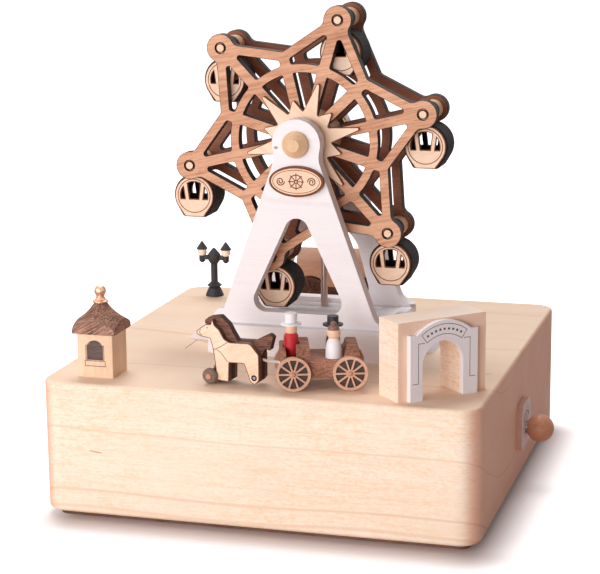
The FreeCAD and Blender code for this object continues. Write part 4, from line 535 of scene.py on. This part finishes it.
# numbered points and triangles of a node's flat faces that look along a direction;
# of the planes found, the outermost of the large ones is kept
def flatFaces(node, direction):
    mesh = nodes[node].data
    mesh.calc_loop_triangles()
    raw = np.empty(len(mesh.vertices) * 3)
    mesh.vertices.foreach_get("co", raw)
    corners = np.empty(len(mesh.loop_triangles) * 3, dtype=np.int64)
    mesh.loop_triangles.foreach_get("vertices", corners)
    rounded = np.round(raw.reshape(-1, 3), 7)
    points, numbers = np.unique(rounded, axis=0, return_inverse=True)
    triangles = numbers.reshape(-1)[corners].reshape(-1, 3)
    first, second, third = (points[triangles[:, k]] for k in range(3))
    normal = np.cross(second - first, third - first)
    area = np.linalg.norm(normal, axis=1)
    facing = normal @ direction > 0.999 * area
    facing &= area > 1e-12
    depth = np.round((first @ direction) / (0.05 * mm)).astype(np.int64)
    planes, owner = np.unique(depth[facing], return_inverse=True)
    sizes = np.bincount(owner.reshape(-1), weights=area[facing])
    kept = planes[sizes > 0.6 * sizes.max()].max()
    return points, triangles[facing & (depth == kept)]


def newPiece(name, points, faces, finish, body):
    mesh = bpy.data.meshes.new(name)
    mesh.from_pydata(points.tolist(), [], faces.tolist())
    mesh.materials.append(finishes[finish])
    piece = bpy.data.objects.new(name, mesh)
    bpy.context.scene.collection.objects.link(piece)
    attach(piece, body)
    return piece


# a narrow band inside every edge of a node's flat face: each boundary point moves inward
# along the mean of its two edges' inner normals, lengthened by 1 / cos(half the turn)
def rimBand(name, node, body, direction, width, finish):
    points, triangles = flatFaces(node, direction)
    edges = np.concatenate([triangles[:, [0, 1]], triangles[:, [1, 2]], triangles[:, [2, 0]]])
    keys = edges[:, 0] * len(points) + edges[:, 1]
    back = edges[:, 1] * len(points) + edges[:, 0]
    edges = edges[~np.isin(keys, back)]
    along = points[edges[:, 1]] - points[edges[:, 0]]
    inner = np.cross(direction, along)
    inner /= np.linalg.norm(inner, axis=1)[:, None]
    total = np.zeros_like(points)
    np.add.at(total, edges[:, 0], inner)
    np.add.at(total, edges[:, 1], inner)
    length = np.maximum(np.linalg.norm(total, axis=1), 1e-9)
    reach = np.minimum(2.0 / length, 1.8)
    unit = total / length[:, None] * reach[:, None]
    near = points + direction * proud
    far = points + unit * width + direction * proud
    used, numbers = np.unique(edges, return_inverse=True)
    numbers = numbers.reshape(-1, 2)
    count = len(used)
    faces = np.stack([numbers[:, 0], numbers[:, 1], numbers[:, 1] + count,
                      numbers[:, 0] + count], axis=1)
    return newPiece(name, np.concatenate([near[used], far[used]]), faces, finish, body)


# strokes are lists of (u, v) in millimetres on a plane given by origin, across and up
def strokePiece(name, body, plane, strokes, width, finish, closed=False):
    origin, across, up = (np.array(part) for part in plane)
    outward = np.cross(across, up)
    points = []
    faces = []
    total = 0
    for stroke in strokes:
        path = np.array(stroke, dtype=float)
        ahead = np.roll(path, -1, axis=0) - path
        behind = path - np.roll(path, 1, axis=0)
        if not closed:
            ahead[-1] = behind[-1]
            behind[0] = ahead[0]
        ahead /= np.linalg.norm(ahead, axis=1)[:, None]
        behind /= np.linalg.norm(behind, axis=1)[:, None]
        mean = ahead + behind
        mean /= np.linalg.norm(mean, axis=1)[:, None]
        stretch = 1 / np.maximum((mean * ahead).sum(axis=1), 0.5)
        side = np.stack([-mean[:, 1], mean[:, 0]], axis=1) * stretch[:, None] * width / 2
        flat = np.concatenate([path - side, path + side]) * mm
        points.append(origin + flat[:, :1] * across + flat[:, 1:] * up + outward * proud)
        count = len(path)
        first = np.arange(count if closed else count - 1)
        second = (first + 1) % count
        faces.append(np.stack([first, second, second + count, first + count], axis=1) + total)
        total += 2 * count
    return newPiece(name, np.concatenate(points), np.concatenate(faces), finish, body)


# filled shapes: each outline is fanned from its mean point
def patchPiece(name, body, plane, outlines, finish):
    origin, across, up = (np.array(part) for part in plane)
    outward = np.cross(across, up)
    points = []
    faces = []
    total = 0
    for outline in outlines:
        path = np.array(outline, dtype=float)
        flat = np.concatenate([path, path.mean(axis=0)[None]]) * mm
        points.append(origin + flat[:, :1] * across + flat[:, 1:] * up + outward * proud)
        count = len(path)
        first = np.arange(count)
        faces.append(np.stack([first, (first + 1) % count, np.full(count, count)], axis=1) + total)
        total += count + 1
    return newPiece(name, np.concatenate(points), np.concatenate(faces), finish, body)


# points of an ellipse's arc, in degrees from the across axis
def arcPath(centre, radii, start=0.0, end=360.0, count=48):
    turn = np.radians(np.linspace(start, end, count, endpoint=abs(end - start) < 359))
    return np.stack([centre[0] + radii[0] * np.cos(turn),
                     centre[1] + radii[1] * np.sin(turn)], axis=1)


# a flat ring between two radii
def ringPiece(name, body, plane, centres, radii, finish, count=40):
    middle = (radii[0] + radii[1]) / 2
    rings = [arcPath(centre, (middle, middle), count=count) for centre in centres]
    return strokePiece(name, body, plane, rings, radii[1] - radii[0], finish, closed=True)


# the centre and directions of a piece that stands on the round track
def trackPlace(radius, degrees):
    turn = math.radians(degrees)
    outward = np.array([math.cos(turn), math.sin(turn), 0.0])
    along = np.array([-math.sin(turn), math.cos(turn), 0.0])
    return outward * radius * mm + upward * toy["track"] * mm, along, outward


# a plane for strokes and patches, from a place in millimetres
def planeAt(place, across, up):
    return np.array(place) * mm, across, up


lobeTurns = [toy["firstLobe"] + 60 * lobe for lobe in range(6)]
lobePlaces = [(toy["lobeReach"] * math.cos(math.radians(t)),
               toy["axleHeight"] + toy["lobeReach"] * math.sin(math.radians(t)))
              for t in lobeTurns]
rimLook = {"star": 0.15, "sunburst": 0.22, "cabin": 0.3, "dowel": (1.28, 1.5),
           "cabinRing": (5.9, 6.2)}
for star in ("front_star", "rear_star"):
    rimBand(star + ".rim", star, "wheel", front, rimLook["star"] * mm, "scorchAndShade")
rimBand("sunburst.rim", "sunburst", "wheel", front, rimLook["sunburst"] * mm, "brownBurn")
starPlane = planeAt((0, toy["starFace"], 0), rightward, upward)
for number, (across, height) in enumerate(lobePlaces, start=1):
    body = f"cabin_{number}"
    facePlace = (across, toy["cabinFace"], height - toy["cabinDrop"])
    facePlane = planeAt(facePlace, rightward, upward)
    ringPiece(f"dowelRing.{number}", body, starPlane, [(across, height)], rimLook["dowel"],
              "scorchAndShade", 28)
    rimBand(f"cabinRim.{number}", body + "_faces", body, front, rimLook["cabin"] * mm, "brownBurn")
    ringPiece(f"cabinRing.{number}", body, facePlane, [(0, 0)], rimLook["cabinRing"],
              "brownBurn", 64)
print("burnt rims and cabin rings made")

# ---- plaque: bark edge, a scribed ring and a small wheel between two scrolls
plaqueLook = {"place": (0.5, -25.1, 109.4), "bark": 0.75, "ring": (8.35, 4.0), "hub": 0.5,
              "wheel": 2.3, "spokeEnd": 2.9, "spokes": 8, "scroll": 1.5, "scrollAway": 5.6,
              "fine": 0.2, "line": 0.34, "spokeLine": 0.32, "scrollLine": 0.38}


# a scroll: the radius falls evenly with the angle, from the wheel outwards
def scrollPath(look, side, lift):
    turn = np.linspace(0.0, 3.3 * math.pi, 60)
    radius = look["scroll"] * (1 - turn / (4.2 * math.pi))
    return np.stack([side * (look["scrollAway"] - radius * np.cos(turn)),
                     lift * radius * np.sin(turn)], axis=1)


def makePlaque(look):
    plane = planeAt(look["place"], rightward, upward)
    circles = [arcPath((0, 0), (look[part], look[part]), count=36) for part in ("hub", "wheel")]
    rays = np.radians(np.arange(0, 360, 360 / look["spokes"]))
    spokes = [[(look["hub"] * np.cos(t), look["hub"] * np.sin(t)),
               (look["spokeEnd"] * np.cos(t), look["spokeEnd"] * np.sin(t))] for t in rays]
    scrolls = [scrollPath(look, side, side) for side in (1, -1)]
    rimBand("plaque.bark", "plaque", "base", front, look["bark"] * mm, "brownBurn")
    strokePiece("plaque.ring", "base", plane, [arcPath((0, 0), look["ring"], count=72)],
                look["fine"], "brownBurn", closed=True)
    strokePiece("plaque.wheel", "base", plane, circles, look["line"], "brownBurn", closed=True)
    strokePiece("plaque.spokes", "base", plane, spokes, look["spokeLine"], "brownBurn")
    strokePiece("plaque.scrolls", "base", plane, scrolls, look["scrollLine"], "brownBurn")


makePlaque(plaqueLook)

# ---- gate: scribed sign band with beads and a stepped line down each post
gateLook = {"place": (55.55, -57.1, 47.4), "face": 7.85, "aside": 0.5, "crown": (0.0, 10.18),
            "band": (10.9, 14.2), "bandTurn": (53, 127), "beads": 9, "beadRow": 12.55,
            "beadTurn": (60, 120), "bead": 0.42, "line": 0.2,
            "post": [(7.4, 18.9), (9.8, 18.9), (9.8, 5.8), (11.9, 5.8)]}


def makeGate(look):
    across = np.array([math.sqrt(0.5), math.sqrt(0.5), 0.0])
    outward = np.array([math.sqrt(0.5), -math.sqrt(0.5), 0.0])
    place = np.array(look["place"]) + outward * look["face"] - across * look["aside"]
    plane = planeAt(place, across, upward)
    inner, outer = look["band"]
    low, high = look["bandTurn"]
    band = np.concatenate([arcPath(look["crown"], (outer, outer), low, high, 30),
                           arcPath(look["crown"], (inner, inner), high, low, 30)])
    beadRadii = (look["beadRow"], look["beadRow"])
    row = arcPath(look["crown"], beadRadii, *look["beadTurn"], look["beads"])
    beads = [arcPath(spot, (look["bead"], look["bead"]), count=14) for spot in row]
    posts = [[(side * u, v) for u, v in look["post"]] for side in (1, -1)]
    strokePiece("gate.band", "base", plane, [band], look["line"], "inkGrey", closed=True)
    patchPiece("gate.beads", "base", plane, beads, "inkGrey")
    strokePiece("gate.panels", "base", plane, posts, look["line"], "inkGrey")


makeGate(gateLook)

# ---- kiosk: dark pane in the shallow window, its scribed frame and sill
kioskLook = {"place": (-57.9, -67.9, 47.4), "sunk": 0.3, "paneHalf": 2.9, "paneLow": 6.05,
             "shoulder": 11.0, "archHeart": (0, 10.1), "arch": 2.55, "frame": (1.12, 1.0),
             "lift": (0, 0.05), "sill": (3.6, 3.9, 5.7), "line": 0.22}


def makeKiosk(look):
    plane = planeAt(look["place"], rightward, upward)
    sunk = planeAt(np.array(look["place"]) - front * look["sunk"], rightward, upward)
    half = look["paneHalf"]
    arch = arcPath(look["archHeart"], (look["arch"], look["arch"]), 20, 160, 24)
    pane = np.concatenate([[(-half, look["paneLow"]), (half, look["paneLow"]),
                            (half, look["shoulder"])], arch, [(-half, look["shoulder"])]])
    wide, low, high = look["sill"]
    sill = [(-wide, low), (wide, low), (wide, high), (-wide, high)]
    patchPiece("kiosk.pane", "base", sunk, [pane], "paneDark")
    strokePiece("kiosk.frame", "base", plane, [pane * look["frame"] + look["lift"]],
                look["line"], "inkGrey", closed=True)
    strokePiece("kiosk.sill", "base", plane, [sill], look["line"], "inkGrey", closed=True)


makeKiosk(kioskLook)

# ---- knob plate: an arrow that shows which way to wind, under a row of ticks
knobLook = {"place": (77.2, 0, 20.4), "arrow": 5.9, "arrowTurn": (35, 145),
            "head": [(3.4, 4.9), (4.83, 3.4), (5.9, 5.2)], "arrowLine": 0.35,
            "ticks": (7.0, 7.8), "tickTurns": (40, 145, 15), "tickLine": 0.25}


def makeKnobPlate(look):
    plane = planeAt(look["place"], backward, upward)
    bow = arcPath((0, 0), (look["arrow"], look["arrow"]), *look["arrowTurn"], 30)
    near, far = look["ticks"]
    ticks = [[(near * np.cos(t), near * np.sin(t)), (far * np.cos(t), far * np.sin(t))]
             for t in np.radians(np.arange(*look["tickTurns"]))]
    strokePiece("knobPlate.arrow", "base", plane, [bow, look["head"]], look["arrowLine"],
                "inkGrey")
    strokePiece("knobPlate.ticks", "base", plane, ticks, look["tickLine"], "inkGrey")


makeKnobPlate(knobLook)

# ---- horse: burnt rim, shoulder line, leg line, nose band, eye and hoof pin
horseLook = {"side": 3.4, "lead": 1.9, "rim": 0.24, "line": 0.2,
             "lines": [[(-0.9, 14.6), (-2.4, 13.7), (-4.0, 12.6), (-6.5, 11.4)],
                       [(-5.3, 11.6), (-4.1, 10.9), (-2.9, 9.6), (-2.1, 8.5), (-1.2, 7.7)],
                       [(-11.2, 18.0), (-11.5, 17.1), (-11.3, 16.4), (-10.6, 15.9)]],
             "eye": (-8.6, 18.7), "eyeRadii": (0.3, 0.16), "hoof": (8.1, 3.1),
             "hoofRing": (0.5, 0.95), "pin": 0.52, "axle": (-9.5, 2.6), "axleEnd": 1.02}


def makeHorse(look):
    heart, along, outward = trackPlace(*toy["horse"])
    plane = (heart + outward * look["side"] * mm - along * look["lead"] * mm, along, upward)
    rimBand("horse.rim", "horse_sides", "horse_cart", outward, look["rim"] * mm, "brownBurn")
    strokePiece("horse.lines", "horse_cart", plane, look["lines"], look["line"], "brownBurn")
    eye = arcPath(look["eye"], look["eyeRadii"], count=16)
    patchPiece("horse.eye", "horse_cart", plane, [eye], "brownBurn")
    ringPiece("hoofRing", "horse_cart", plane, [look["hoof"]], look["hoofRing"], "scorchAndShade", 24)
    pin = arcPath(look["hoof"], (look["pin"], look["pin"]), count=20)
    patchPiece("hoofPin", "horse_cart", plane, [pin], "steel")


makeHorse(horseLook)

# ---- thin brown lines on the deck, a filled pin hole beside the axle, a small knot in front
markLook = {"scribes": [[(-41.92, -23.6), (-41.97, -10.6)], [(65.6, -32.7), (70.3, -30.9)]],
            "brownDeckLineWidth": 0.3, "framePlace": (0, -23.3, 0), "plug": (-7.1, 120.7),
            "plugRadii": (0.75, 0.5), "knotPlace": (-55.0, -77, 24.2), "knotRadii": (2.4, 0.28),
            "knotBow": 0.35}


def makeMarks(look):
    deckPlane = planeAt((0, 0, toy["deck"]), rightward, backward)
    strokePiece("deck.scribes", "base", deckPlane, look["scribes"], look["brownDeckLineWidth"], "lineBrown")
    plug = arcPath(look["plug"], look["plugRadii"], count=20)
    framePlane = planeAt(look["framePlace"], rightward, upward)
    patchPiece("frame.plug", "base", framePlane, [plug], "tanCard")
    knot = arcPath((0, 0), look["knotRadii"], count=30)
    knot[:, 1] -= look["knotBow"] * knot[:, 0] / look["knotRadii"][0]
    knotPlane = planeAt(look["knotPlace"], rightward, upward)
    patchPiece("base.knot", "base", knotPlane, [knot], "knotBrown")


makeMarks(markLook)
print("engraved details made")


# polygons of a node get a further finish where a rule on their centres and normals holds
def finishWhere(node, finish, rule):
    mesh = nodes[node].data
    count = len(mesh.polygons)
    centres = np.empty(count * 3)
    normals = np.empty(count * 3)
    mesh.polygons.foreach_get("center", centres)
    mesh.polygons.foreach_get("normal", normals)
    index = np.zeros(count, dtype=np.int32)
    mesh.polygons.foreach_get("material_index", index)
    mesh.materials.append(finishes[finish])
    chosen = rule(centres.reshape(-1, 3) / mm, normals.reshape(-1, 3))
    index[chosen] = len(mesh.materials) - 1
    mesh.polygons.foreach_set("material_index", index)


# a rule for the end of an axle: near its line and further out along it than a given depth
def axleEnd(heart, outward, radius, past=-1.0):
    def rule(points, normals):
        depth = (points - heart) @ outward
        aside = points - heart - depth[:, None] * outward
        return (np.abs(depth) > past) & (np.linalg.norm(aside, axis=1) < radius)
    return rule


# the cart's spoked wheels: the sunk web is dark and the hub's dome is brown
spokedLook = {"axleHeight": 5.7, "web": 8.7, "near": 0.12, "dome": 0.95, "domeFrom": 9.29}


def dressSpokedWheel(node, along, look):
    heart, forward, outward = trackPlace(*toy["cart"])
    centre = heart / mm + forward * along + upward * look["axleHeight"]

    def onWeb(points, normals):
        depth = np.abs((points - centre) @ outward)
        return (np.abs(normals @ outward) > 0.9) & (np.abs(depth - look["web"]) < look["near"])

    finishWhere(node, "webDark", onWeb)
    finishWhere(node, "hubBrown", axleEnd(centre, outward, look["dome"], look["domeFrom"]))


for node, along in (("cart_front_wheels", -10.9), ("cart_rear_wheels", 7.7)):
    dressSpokedWheel(node, along, spokedLook)

# further colours on one node: horse's axle ends, wagon's chassis, rod's pinions and groom
partLook = {"chassisTop": 55.35, "rodPlace": (0, 11.5), "pinionFrom": 1.3, "groomUpTo": 0.2}


def dressParts(look):
    heart, along, outward = trackPlace(*toy["horse"])
    axle, height = horseLook["axle"]
    centre = heart / mm + along * axle + upward * height
    finishWhere("horse_wheels", "hubBrown", axleEnd(centre, outward, horseLook["axleEnd"]))
    # the wagon's chassis below this height is dark walnut, partly as painted shade under the
    # overhanging body
    finishWhere("wagon_body", "darkWalnutAndShade",
                lambda points, normals: points[:, 2] < look["chassisTop"])
    finishWhere("drive_rod", "brass", lambda points, normals:
                np.linalg.norm(points[:, :2] - look["rodPlace"], axis=1) > look["pinionFrom"])
    heart, along, outward = trackPlace(*toy["cart"])
    finishWhere("passengers", "groomPaint", lambda points, normals:
                (points - heart / mm) @ outward < look["groomUpTo"])


dressParts(partLook)

# the inner sides of a cabin's two faces are dark as painted shade inside the cabin, up to the ring
# at its top
cabinShadeLook = {"frontBack": -9.4, "rearFront": 3.4, "ring": 3.0}


def cabinInsideShade(top, look):
    def rule(points, normals):
        between = (points[:, 1] > look["frontBack"]) & (points[:, 1] < look["rearFront"])
        return (np.abs(normals[:, 1]) > 0.95) & between & (points[:, 2] < top - look["ring"])
    return rule


for number in range(1, 7):
    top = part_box(f"cabin_{number}_faces")[1][2] / mm
    finishWhere(f"cabin_{number}_faces", "scorchAndShade", cabinInsideShade(top, cabinShadeLook))
print("two-tone pieces dressed")


# camera: straight at the toy from its front right, a little above
cameraLook = {"turn": 16.455, "rise": 12.439, "roll": -0.576,
              "place": (179.76 * mm, -628.45 * mm, 211.30 * mm),
              "focalPixels": 1857.67, "imageWidth": 600, "sensor": 36.0}


def placeCamera(look):
    turn, rise, roll = (math.radians(look[k]) for k in ("turn", "rise", "roll"))
    back = Vector((math.sin(turn) * math.cos(rise), -math.cos(turn) * math.cos(rise),
                   math.sin(rise)))
    right = Vector((math.cos(turn), math.sin(turn), 0))
    up = back.cross(right)
    rolledRight = right * math.cos(roll) + up * math.sin(roll)
    rolledUp = up * math.cos(roll) - right * math.sin(roll)
    data = bpy.data.cameras.new("camera")
    data.sensor_width = look["sensor"]
    data.sensor_fit = "HORIZONTAL"
    data.lens = look["focalPixels"] / look["imageWidth"] * look["sensor"]
    camera = bpy.data.objects.new("camera", data)
    basis = Matrix((rolledRight, rolledUp, back)).transposed().to_4x4()
    camera.matrix_world = Matrix.Translation(look["place"]) @ basis
    bpy.context.scene.collection.objects.link(camera)
    bpy.context.scene.camera = camera


placeCamera(cameraLook)

lampLooks = {
    "keyLight": {"place": (-0.46, -0.60, 0.30), "size": 0.5, "power": 2.3},
    "fillLight": {"place": (-0.16, -1.35, 0.13), "size": 0.6, "power": 11.5},
    "topLight": {"place": (-0.22, 0.44, 1.10), "size": 0.6, "power": 8.6},
}


def placeLight(name, look):
    data = bpy.data.lights.new(name, "AREA")
    data.size = look["size"]
    data.energy = look["power"]
    lamp = bpy.data.objects.new(name, data)
    aim = Vector((0, 0, 0.08)) - Vector(look["place"])
    facing = aim.to_track_quat("-Z", "Y").to_matrix().to_4x4()
    lamp.matrix_world = Matrix.Translation(look["place"]) @ facing
    bpy.context.scene.collection.objects.link(lamp)


for name, look in lampLooks.items():
    placeLight(name, look)


# the floor turns pure white a short way from the toy and takes its shadow close by
floorLook = {"colour": tint(216, 202, 200), "shift": (-0.004, 0.007, 0.0),
             "corner": (0.066, 0.068, 0.0), "shadowFrom": 0.0, "shadowTo": 0.026, "dim": 0.0,
             "half": 6.0}


def placeFloor(look):
    half = look["half"]
    mesh = bpy.data.meshes.new("floor")
    mesh.from_pydata([(-half, -half, 0), (half, -half, 0), (half, half, 0), (-half, half, 0)],
                     [], [(0, 1, 2, 3)])
    floor = bpy.data.objects.new("floor", mesh)
    bpy.context.scene.collection.objects.link(floor)
    material, tree, shader = newMaterial("floorWhite")
    feed(tree, shader.inputs["Base Color"], look["colour"])
    shader.inputs["Roughness"].default_value = 0.9
    shader.inputs["Specular IOR Level"].default_value = 0.0
    path = tree.nodes.new("ShaderNodeLightPath")
    # painted light and shade: a glow seen only by the camera whitens the floor outside a footprint
    # shifted to the toy's front and right, where the darker floor colour, with the lamps' shadow,
    # is left as painted shade
    folded = vectorCalc(tree, "ABSOLUTE", placed(tree, look["shift"]))
    beyond = vectorCalc(tree, "SUBTRACT", folded, look["corner"])
    beyond = vectorCalc(tree, "MAXIMUM", beyond, (0, 0, 0))
    away = ramp(tree, vectorCalc(tree, "LENGTH", beyond), look["shadowFrom"], look["shadowTo"],
                look["dim"], 1.0)
    shader.inputs["Emission Color"].default_value = (1, 1, 1, 1)
    feed(tree, shader.inputs["Emission Strength"],
         calc(tree, "MULTIPLY", path.outputs["Is Camera Ray"], away))
    mesh.materials.append(material)


placeFloor(floorLook)


def lightWorld(shade):
    world = bpy.data.worlds.new("studio")
    world.use_nodes = True
    tree = world.node_tree
    background = tree.nodes["Background"]
    path = tree.nodes.new("ShaderNodeLightPath")
    seen = calc(tree, "MAXIMUM", path.outputs["Is Camera Ray"], path.outputs["Is Glossy Ray"])
    feed(tree, background.inputs["Color"], mixColour(tree, seen, shade, (1, 1, 1, 1)))
    background.inputs["Strength"].default_value = 1.0
    bpy.context.scene.world = world


lightWorld((0.20, 0.168, 0.162, 1))
bpy.context.scene.view_settings.view_transform = "Standard"
print("camera, lights and floor placed")
